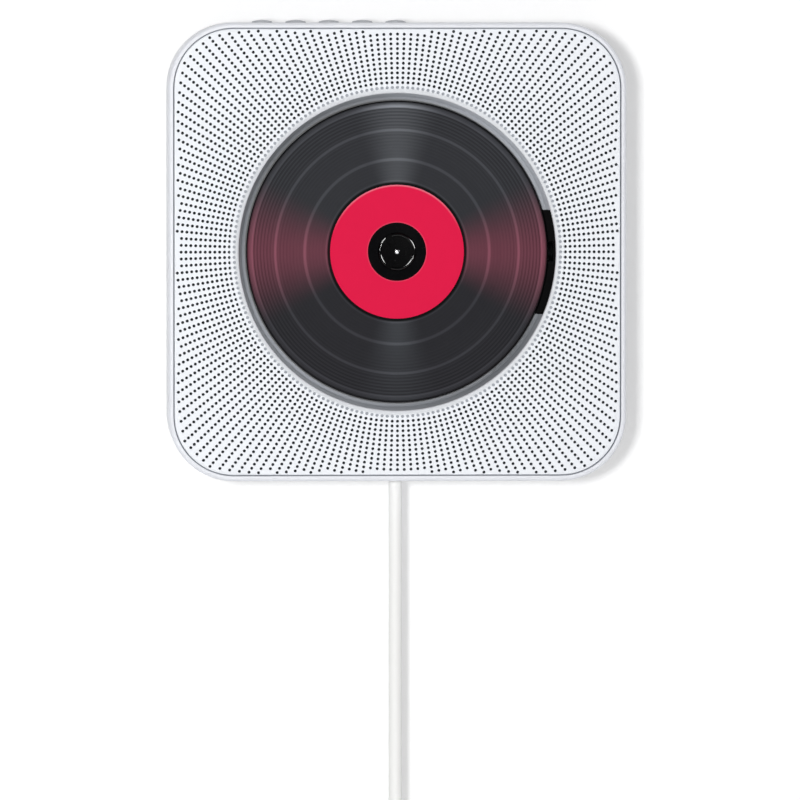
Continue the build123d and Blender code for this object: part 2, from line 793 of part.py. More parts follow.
with BuildPart() as chassis:
    with BuildSketch(front_plane(chassis_back)):
        with Locations(((chassis_left + chassis_right) / 2, (chassis_bottom + chassis_top_z) / 2)):
            RectangleRounded(chassis_right - chassis_left, chassis_top_z - chassis_bottom, chassis_corner)
        with Locations(*ear_points):
            Circle(ear_radius)
        with Locations(*ear_points):
            Circle(ear_hole_radius, mode=Mode.SUBTRACT)
        with Locations(((window_left + window_right) / 2, (window_bottom + window_top) / 2)):
            RectangleRounded(
                window_right - window_left, window_top - window_bottom, window_corner, mode=Mode.SUBTRACT
            )
        with Locations((0, 0), (motor_gear_x, motor_gear_z)):
            Circle(motor_boss_radius + motor_hole_gap, mode=Mode.SUBTRACT)
    extrude(amount=chassis_thickness)
    # Lugs that hold the ends of both rods.
    with BuildSketch(front_plane(chassis_back)):
        for x in lug_xs:
            for z in (main_rod_z, side_rod_z):
                with Locations((x + lug_thickness / 2, z)):
                    Rectangle(lug_thickness, 2 * lug_half_height)
    extrude(amount=lug_back - chassis_back)
    for z, radius in ((main_rod_z, main_rod_radius), (side_rod_z, side_rod_radius)):
        with BuildSketch(Plane.YZ.offset(lug_xs[0])):
            with Locations((-rod_h, z)):
                Circle(radius + snug_gap)
        extrude(amount=window_right + lug_thickness - lug_xs[0], mode=Mode.SUBTRACT)
    # The middle gear's post and shoulder.
    with BuildSketch(front_plane(chassis_front)):
        with Locations((middle_gear_x, middle_gear_z)):
            Circle(gear_shoulder_radius)
    extrude(amount=gear_shoulder_height)
    with BuildSketch(front_plane(chassis_front)):
        with Locations((middle_gear_x, middle_gear_z)):
            Circle(gear_post_radius)
    extrude(amount=wheel_top + gear_post_stub - chassis_front)
finish(chassis, "chassis")

with BuildPart() as damper_grommets:
    for x, z in ear_points:
        with BuildSketch(axis_plane(x, z)):
            with BuildLine():
                Polyline(
                    (grommet_bore_radius, -grommet_back),
                    (grommet_radius, -grommet_back),
                    (grommet_radius, -chassis_back),
                    (ear_hole_radius - snug_gap, -chassis_back),
                    (ear_hole_radius - snug_gap, -chassis_front),
                    (grommet_radius, -chassis_front),
                    (grommet_radius, -grommet_front),
                    (grommet_bore_radius, -grommet_front),
                    close=True,
                )
            make_face()
        revolve(axis=turning_axis(x, z))
finish(damper_grommets, "damper_grommets")

with BuildPart() as damper_screws:
    for section_radius, start, end in (
        (damper_head_radius, grommet_back - damper_head_thickness, grommet_back),
        (shoulder_radius, grommet_back, grommet_front),
        (boss_bore_radius, grommet_front, grommet_front + damper_thread_length),
    ):
        with BuildSketch(front_plane(start)):
            with Locations(*ear_points):
                Circle(section_radius)
        extrude(amount=end - start)
finish(damper_screws, "damper_screws")

for rod_name, rod_z, rod_radius in (
    ("guide_rod", main_rod_z, main_rod_radius),
    ("side_rod", side_rod_z, side_rod_radius),
):
    with BuildPart() as rod:
        with BuildSketch(Plane.YZ.offset(lug_xs[0])):
            with Locations((-rod_h, rod_z)):
                Circle(rod_radius)
        extrude(amount=window_right + lug_thickness - lug_xs[0])
        chamfer(rod.faces().filter_by(Axis.X).edges(), length=rod_radius / 5)
    finish(rod, rod_name)

# ------------------------------------------------------------------ motors
for motor_name, x, z, can_radius, can_length, shaft_radius in (
    ("spindle_motor", 0.0, 0.0, spindle_motor_radius, spindle_motor_length, spindle_radius),
    ("sled_motor", motor_gear_x, motor_gear_z, sled_motor_radius, sled_motor_length, sled_shaft_radius),
):
    with BuildPart() as motor:
        with BuildSketch(front_plane(chassis_back)):
            with Locations((x, z)):
                Circle(can_radius)
        extrude(amount=-can_length)
        fillet(motor.faces().sort_by(Axis.Y)[-1].edges(), radius=motor_edge_round)
        with BuildSketch(front_plane(chassis_back)):
            with Locations((x, z)):
                Circle(motor_boss_radius)
        extrude(amount=chassis_thickness - motor_hole_gap)
        with BuildSketch(front_plane(chassis_front)):
            with Locations((x, z)):
                Circle(shaft_radius + running_gap)
        extrude(amount=-(chassis_thickness + can_length - motor_end_wall), mode=Mode.SUBTRACT)
    finish(motor, motor_name)

# ------------------------------------------------------------------ turntable, shaft and mat
with BuildPart() as spindle_shaft:
    shaft_foot = chassis_back - spindle_motor_length + motor_end_wall + running_gap
    with BuildSketch(front_plane(shaft_foot)):
        Circle(spindle_radius)
    extrude(amount=hub_top - spindle_drop - shaft_foot)
    fillet(spindle_shaft.faces().sort_by(Axis.Y)[0].edges(), radius=spindle_radius / 2)
finish(spindle_shaft, "spindle_shaft")

with BuildPart() as turntable:
    shaft_bore = spindle_radius + snug_gap
    rim_foot = hub_top - hub_rim_width / 2  # where the hub's rounded rim begins
    with BuildSketch(axis_plane(0, 0)):
        with BuildLine():
            Polyline(
                (shaft_bore, -(turntable_back - hub_boss_length)),
                (hub_boss_radius, -(turntable_back - hub_boss_length)),
                (hub_boss_radius, -turntable_back),
                (turntable_radius, -turntable_back),
                (turntable_radius, -turntable_top),
                (hub_radius, -turntable_top),
                (hub_radius, -rim_foot),
            )
            ThreePointArc(
                (hub_radius, -rim_foot),
                (hub_radius - hub_rim_width / 2, -hub_top),
                (hub_radius - hub_rim_width, -rim_foot),
            )
            Polyline(
                (hub_radius - hub_rim_width, -rim_foot),
                (hub_radius - hub_rim_width, -(hub_top - hub_dish_depth)),
                (shaft_bore, -(hub_top - hub_dish_depth)),
                (shaft_bore, -(turntable_back - hub_boss_length)),
            )
        make_face()
    revolve(axis=turning_axis(0, 0))
    # Radial slots for the claws.
    slot_root = claw_root_radius - claw_travel - plain_gap
    with BuildSketch(front_plane(claw_back - running_gap)):
        with PolarLocations((slot_root + hub_radius) / 2, claw_count):
            Rectangle(hub_radius - slot_root + plain_gap, claw_width + 4 * running_gap)
    extrude(amount=hub_top - claw_back + plain_gap, mode=Mode.SUBTRACT)
finish(turntable, "turntable")

with BuildPart() as turntable_mat:
    with BuildSketch(front_plane(turntable_top)):
        Circle(turntable_radius - plain_gap)
        Circle(mat_bore_radius, mode=Mode.SUBTRACT)
    extrude(amount=mat_thickness)
finish(turntable_mat, "turntable_mat")

for number in range(claw_count):
    with BuildPart() as claw:
        with BuildSketch(spot_plane(0, 0, claw_back, 360 / claw_count * number)):
            with Locations(((claw_root_radius + hub_radius) / 2, 0)):
                Rectangle(hub_radius - claw_root_radius + plain_gap, claw_width)
            Circle(hub_radius, mode=Mode.INTERSECT)
        extrude(amount=claw_height)
    finish(claw, f"hub_claw_{number + 1}")

# ------------------------------------------------------------------ disc
with BuildPart() as disc:
    with BuildSketch(front_plane(disc_back)):
        Circle(disc_radius)
        Circle(disc_bore_radius, mode=Mode.SUBTRACT)
    extrude(amount=disc_thickness)
finish(disc, "disc")

with BuildPart() as disc_face_print:
    with BuildSketch(front_plane(print_back)):
        Circle(disc_radius - print_margin)
        Circle(label_radius + snug_gap, mode=Mode.SUBTRACT)
    extrude(amount=print_thickness)
finish(disc_face_print, "disc_face")

with BuildPart() as disc_label:
    with BuildSketch(front_plane(print_back)):
        Circle(label_radius)
        Circle(clear_hub_radius, mode=Mode.SUBTRACT)
    extrude(amount=print_thickness)
finish(disc_label, "disc_label")

# ------------------------------------------------------------------ pickup
sled_back = rod_h - sled_back_drop
sled_front = rod_h + sled_front_rise
sled_left = lens_start_x - sled_behind_lens
sled_right = lens_start_x + sled_ahead_of_lens
sled_length = sled_right - sled_left
bearing_bottom_z = main_rod_z - bearing_half_height
bearing_top_z = main_rod_z + bearing_half_height
fork_x = lens_start_x + (sled_ahead_of_lens - sled_behind_lens) / 2
neck_length = neck_behind + neck_ahead
neck_x = lens_start_x + (neck_ahead - neck_behind) / 2

with BuildPart() as pickup_sled:
    with BuildSketch(front_plane(sled_back)):
        with Locations(((sled_left + sled_right) / 2, (sled_bottom_z + bearing_top_z) / 2)):
            Rectangle(sled_length, bearing_top_z - sled_bottom_z)
    extrude(amount=sled_front - sled_back)
    # The neck rises through the chassis window, with the magnet yoke on it.
    with BuildSketch(front_plane(sled_front)):
        with Locations((neck_x, (neck_bottom_z + neck_top_z) / 2)):
            Rectangle(neck_length, neck_top_z - neck_bottom_z)
    extrude(amount=rack_back - sled_front)
    with BuildSketch(front_plane(rack_back)):
        for side in (-1, 1):
            with Locations((lens_start_x + side * (yoke_half_length - yoke_wall / 2), 0)):
                Rectangle(yoke_wall, 2 * yoke_half_height)
    extrude(amount=yoke_rise)
    # The fork that straddles the side rod.
    with BuildSketch(front_plane(sled_back)):
        with Locations((fork_x, (side_rod_z - fork_half_height + sled_bottom_z) / 2)):
            Rectangle(2 * fork_half_length, sled_bottom_z - side_rod_z + fork_half_height)
    extrude(amount=sled_front - sled_back)
    with BuildSketch(Plane.YZ.offset(sled_left)):
        with Locations((-rod_h, main_rod_z)):
            Circle(main_rod_radius + running_gap)
        fork_depth = side_rod_radius + running_gap + fork_half_height
        with Locations((-rod_h, side_rod_z - fork_half_height + fork_depth / 2)):
            Rectangle(2 * (side_rod_radius + running_gap), fork_depth)
    extrude(amount=sled_length, mode=Mode.SUBTRACT)
    fillet(
        pickup_sled.edges().filter_by(Axis.Y).filter_by_position(Axis.X, sled_left, sled_left),
        radius=holder_corner,
    )
finish(pickup_sled, "pickup_sled")

rack_left = lens_start_x - rack_behind
rack_right = lens_start_x + rack_ahead
rack_tip_z = rack_pitch_z - addendum_share * tooth_module
rack_root_z = rack_pitch_z + dedendum_share * tooth_module
tooth_pitch = pi * tooth_module

with BuildPart() as sled_rack:
    with BuildSketch(front_plane(rack_back)):
        with Locations(((rack_left + rack_right) / 2, rack_root_z + rack_body_width / 2)):
            Rectangle(rack_right - rack_left, rack_body_width)
        # A gap between teeth stands over the middle gear's axis when the sled is at its start.
        first_tooth = int((rack_left - middle_gear_x) / tooth_pitch) + 1
        last_tooth = int((rack_right - middle_gear_x) / tooth_pitch)
        pitch_half = tooth_pitch / 4 - tooth_backlash / 4
        root_half = pitch_half + dedendum_share * tooth_module * tan(pressure_angle)
        tip_half = pitch_half - addendum_share * tooth_module * tan(pressure_angle)
        for index in range(first_tooth, last_tooth):
            x = middle_gear_x + (index + 0.5) * tooth_pitch
            with BuildLine():
                Polyline(
                    (x - root_half, rack_root_z),
                    (x - tip_half, rack_tip_z),
                    (x + tip_half, rack_tip_z),
                    (x + root_half, rack_root_z),
                    close=True,
                )
            make_face()
        # The arm that is screwed down on the sled's neck.
        arm_bottom_z = rack_root_z + rack_body_width
        arm_top_z = -(yoke_half_height + holder_half_height + plain_gap)
        with Locations((lens_start_x + rack_arm_length / 2, (arm_bottom_z + arm_top_z) / 2)):
            Rectangle(rack_arm_length, arm_top_z - arm_bottom_z)
    extrude(amount=rack_thickness)
finish(sled_rack, "sled_rack")

with BuildPart() as lens_holder:
    holder_back = rack_back + focus_travel + holder_base_gap
    with BuildSketch(front_plane(holder_back)):
        with Locations((lens_start_x, 0)):
            RectangleRounded(2 * holder_half_length, 2 * holder_half_height, holder_corner)
    extrude(amount=holder_front - holder_back)
    with BuildSketch(front_plane(holder_front)):
        with Locations((lens_start_x, 0)):
            Circle(lens_radius + snug_gap)
    extrude(amount=-lens_thickness / 2, mode=Mode.SUBTRACT)
finish(lens_holder, "lens_holder")

with BuildPart() as lens:
    lens_back = lens_front - lens_thickness
    rim_h = lens_front - lens_thickness / 2
    with BuildSketch(axis_plane(lens_start_x, 0)):
        with BuildLine():
            Line((0, -lens_back), (lens_radius, -lens_back))
            Line((lens_radius, -lens_back), (lens_radius, -rim_h))
            dome_x, dome_rise = dome_point(lens_radius, lens_front - rim_h)
            ThreePointArc((lens_radius, -rim_h), (dome_x, -(rim_h + dome_rise)), (0, -lens_front))
            Line((0, -lens_front), (0, -lens_back))
        make_face()
    revolve(axis=turning_axis(lens_start_x, 0))
finish(lens, "lens")

# ------------------------------------------------------------------ sled gears
with BuildPart() as middle_gear:
    for gear_back, teeth, first_angle, thickness in (
        (rack_back, middle_pinion_teeth, 90, wheel_back - rack_back),
        (wheel_back, middle_wheel_teeth, motor_gear_angle, wheel_thickness),
    ):
        with BuildSketch(spot_plane(middle_gear_x, middle_gear_z, gear_back)):
            with BuildLine():
                Polyline(*gear_outline(teeth, first_angle), close=True)
            make_face()
        extrude(amount=thickness)
    with BuildSketch(front_plane(rack_back)):
        with Locations((middle_gear_x, middle_gear_z)):
            Circle(gear_post_radius + running_gap)
    extrude(amount=wheel_top - rack_back, mode=Mode.SUBTRACT)
finish(middle_gear, "middle_gear")

with BuildPart() as motor_gear:
    half_tooth_turn = 180 / motor_gear_teeth
    with BuildSketch(spot_plane(motor_gear_x, motor_gear_z, wheel_back)):
        with BuildLine():
            outline = gear_outline(motor_gear_teeth, motor_gear_angle + 180 + half_tooth_turn)
            Polyline(*outline, close=True)
        make_face()
        Circle(sled_shaft_radius + snug_gap, mode=Mode.SUBTRACT)
    extrude(amount=wheel_thickness)
finish(motor_gear, "motor_gear")

with BuildPart() as motor_shaft:
    shaft_foot = chassis_back - sled_motor_length + motor_end_wall + running_gap
    with BuildSketch(front_plane(shaft_foot)):
        with Locations((motor_gear_x, motor_gear_z)):
            Circle(sled_shaft_radius)
    extrude(amount=wheel_top - shaft_foot)
finish(motor_shaft, "motor_shaft")

# ------------------------------------------------------------------ buttons and key board
cap_top_z = body_side / 2 + button_rise
cap_edge_z = cap_top_z - button_dome

for number, button_x in enumerate(button_xs):
    with BuildPart() as button:
        with BuildSketch(upright_plane(button_x, button_h)):
            with BuildLine():
                Polyline(
                    (0, cap_top_z),
                    (0, stem_bottom_z),
                    (button_stem_radius, stem_bottom_z),
                    (button_stem_radius, flange_bottom_z),
                    (button_flange_radius, flange_bottom_z),
                    (button_flange_radius, flange_top_z),
                    (button_radius, flange_top_z),
                    (button_radius, cap_edge_z),
                )
                dome_x, dome_z = dome_point(button_radius, button_dome)
                ThreePointArc((button_radius, cap_edge_z), (dome_x, cap_edge_z + dome_z), (0, cap_top_z))
            make_face()
        revolve(axis=upright_axis(button_x, button_h))
    finish(button, f"button_{number + 1}")

with BuildPart() as tact_switches:
    with BuildSketch(Plane.XY.offset(key_board_top_z)):
        with Locations(*[(x, -button_h) for x in button_xs]):
            Rectangle(switch_side, switch_side)
    extrude(amount=switch_height)
    with BuildSketch(Plane.XY.offset(switch_top_z)):
        with Locations(*[(x, -button_h) for x in button_xs]):
            Circle(switch_plunger_radius)
    extrude(amount=switch_plunger_height)
finish(tact_switches, "tact_switches")

with BuildPart() as key_board:
    key_board_left = key_post_xs[0] - key_board_overhang
    key_board_right = key_post_xs[1] + key_board_overhang
    with BuildSketch(Plane.XY.offset(key_board_top_z)):
        with Locations(((key_board_left + key_board_right) / 2, -button_h)):
            Rectangle(key_board_right - key_board_left, key_board_depth)
    extrude(amount=-board_thickness)
finish(key_board, "key_board")

# ------------------------------------------------------------------ circuit boards
for board_name, board_x, board_z, width, height in (
    ("main_board", main_board_x, main_board_z, main_board_width, main_board_height),
    ("power_board", power_board_x, power_board_z, power_board_width, power_board_height),
):
    with BuildPart() as board:
        with BuildSketch(front_plane(board_back)):
            with Locations((board_x, board_z)):
                Rectangle(width, height)
        extrude(amount=board_thickness)
    finish(board, board_name)

with BuildPart() as main_board_parts:
    for x, z, width, height, thickness in (
        processor, servo_driver, amplifier, memory, pickup_socket, key_socket, speaker_socket
    ):
        with BuildSketch(front_plane(board_front)):
            with Locations((main_board_x + x, main_board_z + z)):
                Rectangle(width, height)
        extrude(amount=thickness)
finish(main_board_parts, "main_board_parts")

with BuildPart() as transformer:
    with BuildSketch(front_plane(board_front + core_lift)):
        with Locations((transformer_x, transformer_z)):
            Rectangle(core_width, core_height)
    extrude(amount=core_depth)
    with BuildSketch(front_plane(board_front)):
        with Locations((transformer_x, transformer_z)):
            Rectangle(bobbin_width, core_height + 2 * core_lift)
    extrude(amount=bobbin_depth)
finish(transformer, "transformer")

with BuildPart() as capacitors:
    with BuildSketch(front_plane(board_front)):
        with Locations((capacitor_x, power_board_z)):
            with GridLocations(capacitor_spacing, capacitor_spacing, 2, 2):
                Circle(capacitor_radius)
    extrude(amount=capacitor_height)
finish(capacitors, "capacitors")

# ------------------------------------------------------------------ speakers
speaker_points = [(-speaker_offset, -speaker_offset), (speaker_offset, -speaker_offset)]
flange_back = cloth_back - speaker_flange_thickness
basket_back = flange_back - speaker_depth
basket_radius = speaker_radius - speaker_flange_width
cone_radius = basket_radius - speaker_frame_wall - running_gap
cone_front = cloth_back - surround_rise - plain_gap
cone_back = cone_front - cone_depth

with BuildPart() as speaker_frames:
    for x, z in speaker_points:
        with BuildSketch(axis_plane(x, z)):
            with BuildLine():
                Polyline(
                    (basket_radius - speaker_frame_wall, -cloth_back),
                    (speaker_radius, -cloth_back),
                    (speaker_radius, -flange_back),
                    (basket_radius, -flange_back),
                    (speaker_neck_radius + speaker_frame_wall, -basket_back),
                    (speaker_neck_radius - speaker_frame_wall, -basket_back),
                    (speaker_neck_radius - speaker_frame_wall, -(basket_back + speaker_frame_wall)),
                    (speaker_neck_radius, -(basket_back + speaker_frame_wall)),
                    (basket_radius - speaker_frame_wall, -flange_back),
                    close=True,
                )
            make_face()
        revolve(axis=turning_axis(x, z))
finish(speaker_frames, "speaker_frames")

with BuildPart() as speaker_magnets:
    with BuildSketch(front_plane(basket_back)):
        with Locations(*speaker_points):
            Circle(magnet_radius)
    extrude(amount=-magnet_thickness)
    magnet_backs = speaker_magnets.faces().filter_by(Axis.Y).group_by(Axis.Y)[-1]
    chamfer(magnet_backs.edges(), length=magnet_thickness / 8)
finish(speaker_magnets, "speaker_magnets")

with BuildPart() as speaker_cones:
    inner_surround = cone_radius - surround_width
    surround_base = cone_front + cone_thickness
    cap_foot = cone_back + cone_thickness
    cap_top = cone_back + dust_cap_rise
    for x, z in speaker_points:
        with BuildSketch(axis_plane(x, z)):
            with BuildLine():
                Polyline(
                    (cone_radius, -surround_base),
                    (cone_radius, -cone_front),
                    (inner_surround, -cone_front),
                    (dust_cap_radius, -cone_back),
                    (0, -(cap_top - cone_thickness)),
                    (0, -cap_top),
                    (dust_cap_radius, -cap_foot),
                    (inner_surround, -surround_base),
                )
                ThreePointArc(
                    (inner_surround, -surround_base),
                    (cone_radius - surround_width / 2, -(cone_front + surround_rise)),
                    (cone_radius, -surround_base),
                )
            make_face()
        revolve(axis=turning_axis(x, z))
finish(speaker_cones, "speaker_cones")

# ------------------------------------------------------------------ pull switch
with BuildPart() as cord_bushing:
    with BuildSketch(upright_plane(0, cord_h)):
        with BuildLine():
            Polyline(
                (cord_radius + plain_gap, -body_side / 2),
                (bushing_radius, -body_side / 2),
                (bushing_radius, -wall_inside),
                (bushing_flange_radius, -wall_inside),
                (bushing_flange_radius, bushing_top_z),
                (cord_radius + plain_gap, bushing_top_z),
                close=True,
            )
        make_face()
    revolve(axis=upright_axis(0, cord_h))
finish(cord_bushing, "cord_bushing")

with BuildPart() as strain_relief:
    with BuildSketch(upright_plane(0, cord_h)):
        with BuildLine():
            Polyline(
                (0, relief_bottom_z),
                (relief_tip_radius, relief_bottom_z),
                (relief_root_radius, slider_bottom_z),
                (0, slider_bottom_z),
                close=True,
            )
        make_face()
    revolve(axis=upright_axis(0, cord_h))
finish(strain_relief, "strain_relief")

with BuildPart() as pull_slider:
    with BuildSketch(Plane.XY.offset(slider_bottom_z)):
        with Locations((0, -cord_h)):
            Rectangle(slider_width, slider_depth)
    extrude(amount=slider_height)
    chamfer(pull_slider.edges().filter_by(Axis.Z), length=guide_wall / 3)
finish(pull_slider, "pull_slider")

guide_width = slider_width + 2 * plain_gap + 2 * guide_wall
guide_front = cord_h + slider_depth / 2 + plain_gap + guide_wall
guide_depth = guide_front - cover_inside
guide_middle_h = (guide_front + cover_inside) / 2

with BuildPart() as switch_guide:
    with BuildSketch(Plane.XY.offset(guide_bottom_z)):
        with Locations((0, -guide_middle_h)):
            Rectangle(guide_width, guide_depth)
    extrude(amount=guide_top_z - guide_bottom_z)
    # The slider's room, the room for the spring and the way in for the cord.
    with BuildSketch(Plane.XY.offset(spring_bottom_z)):
        with Locations((0, -cord_h)):
            Rectangle(slider_width + 2 * plain_gap, slider_depth + 2 * plain_gap)
    extrude(amount=guide_inside_top_z - spring_bottom_z, mode=Mode.SUBTRACT)
    with BuildSketch(Plane.XY.offset(guide_bottom_z)):
        with Locations((0, -cord_h)):
            Circle(relief_root_radius + plain_gap)
    extrude(amount=guide_flange, mode=Mode.SUBTRACT)
    with BuildSketch(Plane.XY.offset(guide_inside_top_z)):
        with Locations((0, -cord_h)):
            Circle(plunger_radius + plain_gap)
    extrude(amount=guide_flange, mode=Mode.SUBTRACT)
    # The foot is hollow behind the slider.
    foot_depth = cord_h - slider_depth / 2 - plain_gap - guide_wall - cover_inside
    with BuildSketch(Plane.XY.offset(guide_bottom_z)):
        with Locations((0, -(cover_inside + foot_depth / 2))):
            Rectangle(guide_width - 2 * guide_wall, foot_depth)
    extrude(amount=guide_top_z - guide_bottom_z, mode=Mode.SUBTRACT)
finish(switch_guide, "switch_guide")

with BuildPart() as return_spring:
    helix_height = spring_length - 2 * spring_wire_radius
    with BuildLine():
        helix = Helix(
            pitch=helix_height / spring_turns,
            height=helix_height,
            radius=spring_radius,
            center=(0, -cord_h, spring_bottom_z + spring_wire_radius),
        )
    with BuildSketch(Plane(origin=helix @ 0, z_dir=helix % 0)):
        RegularPolygon(spring_wire_radius, 6)
    sweep()
finish(return_spring, "return_spring")

with BuildPart() as microswitch:
    with BuildSketch(Plane.XY.offset(guide_top_z)):
        with Locations((0, -cord_h)):
            Rectangle(microswitch_width, microswitch_depth)
    extrude(amount=microswitch_height)
    with BuildSketch(Plane.XY.offset(slider_top_z)):
        with Locations((0, -cord_h)):
            Circle(plunger_radius)
    extrude(amount=guide_top_z - slider_top_z)
finish(microswitch, "microswitch")

# ------------------------------------------------------------------ cord
cord_vectors = [Vector(x, -cord_h, z) for x, z in cord_points]
cord_runs = [b - a for a, b in zip(cord_vectors, cord_vectors[1:])]
cord_radii = []
for run_in, run_out in zip(cord_runs, cord_runs[1:]):
    half_turn = radians(run_in.get_angle(run_out)) / 2
    cord_radii.append(cord_arc_share * min(run_in.length, run_out.length) / tan(half_turn))
print("cord radii", [round(radius, 1) for radius in cord_radii])

with BuildPart() as cord:
    with BuildLine() as cord_path:
        FilletPolyline(*cord_vectors, radius=cord_radii)
    with BuildSketch(Plane(origin=cord_vectors[0], z_dir=(0, 0, -1))):
        Circle(cord_radius)
    sweep()
    with BuildSketch(Plane.XY.offset(tail_bottom_z)):
        with Locations((coil_mean_high, -tail_h)):
            Circle(cord_radius)
    extrude(amount=tail_length)
finish(cord, "cord")
cord_length = sum(edge.length for edge in cord_path.edges()) + tail_length
cord_volume = pi * cord_radius**2 * cord_length
print("cord volume", round(cord.part.volume, 1), "section times length", round(cord_volume, 1))

with BuildPart() as cord_coil:
    with BuildSketch(front_plane(coil_back)):
        with Locations((0, coil_z)):
            Circle(coil_outer)
            Circle(coil_inner, mode=Mode.SUBTRACT)
    extrude(amount=coil_thickness)
    fillet(cord_coil.edges(), radius=coil_round)
finish(cord_coil, "cord_coil")

with BuildPart() as cord_tie:
    tie_inner_z = coil_z + sqrt(coil_inner**2 - (tie_width / 2) ** 2)
    tie_outer_z = coil_z + coil_outer
    tie_room = tie_outer_z - tie_inner_z + 2 * plain_gap
    tie_middle_h = coil_back + coil_thickness / 2
    with BuildSketch(Plane.YZ.offset(-tie_width / 2)):
        with Locations((-tie_middle_h, (tie_inner_z + tie_outer_z) / 2)):
            RectangleRounded(
                coil_thickness + 2 * plain_gap + 2 * tie_thickness,
                tie_room + 2 * tie_thickness,
                coil_round + tie_thickness,
            )
            RectangleRounded(coil_thickness + 2 * plain_gap, tie_room, coil_round, mode=Mode.SUBTRACT)
    extrude(amount=tie_width)
finish(cord_tie, "cord_tie")

# ------------------------------------------------------------------ plug
with BuildPart() as plug:
    with BuildSketch(Plane.XY.offset(plug_bottom_z)):
        with Locations((coil_mean_high, -tail_h)):
            RectangleRounded(plug_width, plug_depth, plug_corner)
    extrude(amount=plug_length)
    fillet(plug.faces().sort_by(Axis.Z)[-1].edges(), radius=plug_edge_round)
    with BuildSketch(upright_plane(coil_mean_high, tail_h)):
        with BuildLine():
            Polyline(
                (0, plug_top_z - plug_edge_round),
                (plug_boot_radius, plug_top_z - plug_edge_round),
                (plug_boot_radius, plug_top_z),
                (cord_radius + running_gap, tail_bottom_z),
                (0, tail_bottom_z),
                close=True,
            )
        make_face()
    revolve(axis=upright_axis(coil_mean_high, tail_h))
finish(plug, "plug")

with BuildPart() as plug_pins:
    with BuildSketch(Plane.XY.offset(plug_bottom_z)):
        with Locations((coil_mean_high, -tail_h)):
            with GridLocations(pin_spacing, pin_depth, 2, 1):
                Rectangle(pin_width, pin_depth)
    extrude(amount=-pin_length)
    chamfer(plug_pins.faces().filter_by(Axis.Z).group_by(Axis.Z)[0].edges(), length=pin_tip)
finish(plug_pins, "plug_pins")
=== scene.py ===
"""Dresses the wall mounted disc player: fine shapes, finishes, the pull cord and a plain studio."""

import logging
from collections.abc import Callable, Iterable, Sequence
from dataclasses import dataclass, field
from enum import Enum
from itertools import accumulate
from math import atan2, ceil, cos, hypot, pi, radians, sin, sqrt

import bmesh
import bpy
from bpy.types import ID, Material, Node, NodeSocket, Object, World
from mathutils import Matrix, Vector
from mathutils.geometry import delaunay_2d_cdt


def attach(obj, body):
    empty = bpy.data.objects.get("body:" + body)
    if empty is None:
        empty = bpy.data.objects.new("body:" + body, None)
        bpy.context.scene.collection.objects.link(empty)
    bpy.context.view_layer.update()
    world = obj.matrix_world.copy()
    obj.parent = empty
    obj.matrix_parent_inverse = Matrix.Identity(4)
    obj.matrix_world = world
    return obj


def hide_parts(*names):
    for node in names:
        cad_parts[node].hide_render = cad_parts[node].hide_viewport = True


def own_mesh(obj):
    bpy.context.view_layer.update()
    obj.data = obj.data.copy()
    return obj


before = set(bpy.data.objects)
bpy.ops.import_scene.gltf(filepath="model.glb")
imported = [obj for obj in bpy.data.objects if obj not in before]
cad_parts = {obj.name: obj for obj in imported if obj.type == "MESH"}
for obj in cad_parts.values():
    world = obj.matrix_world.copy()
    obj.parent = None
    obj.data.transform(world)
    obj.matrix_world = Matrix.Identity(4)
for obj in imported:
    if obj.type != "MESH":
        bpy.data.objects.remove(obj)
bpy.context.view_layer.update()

log = logging.getLogger("player")

MM = 0.001
FULL_TURN = 2 * pi
Colour = tuple[float, float, float]
Point = tuple[float, float, float]
Flat = tuple[float, float]

# The Mix node's colour sockets: two inputs and the output.
MIX_FIRST, MIX_SECOND, MIX_RESULT = 6, 7, 2

# The pieces of the turntable that are polished black.
POLISHED = ("turntable", *(f"hub_claw_{number}" for number in range(1, 4)))


class Body(Enum):
    """The rigid bodies that the made pieces ride on."""

    PLAYER = "player"
    DISC = "disc"
    PULL = "pull"


def srgb(red: int, green: int, blue: int) -> Colour:
    """Turns an 8 bit display colour into linear light.

    Args:
        red: Red, 0 to 255.
        green: Green, 0 to 255.
        blue: Blue, 0 to 255.

    Returns:
        The linear red, green and blue.
    """

    def linear(value: int) -> float:
        """Decodes one part of the colour."""
        share = value / 255
        return share / 12.92 if share <= 0.04045 else ((share + 0.055) / 1.055) ** 2.4

    return linear(red), linear(green), linear(blue)


def clamped(value: float) -> float:
    """A number kept between 0 and 1."""
    return min(1.0, max(0.0, value))


def placed(name: str, data: ID) -> Object:
    """Adds an object to the scene.

    Args:
        name: Its name.
        data: Its mesh, curve, lamp or camera.

    Returns:
        The new object.
    """
    made = bpy.data.objects.new(name, data)
    bpy.context.scene.collection.objects.link(made)
    return made


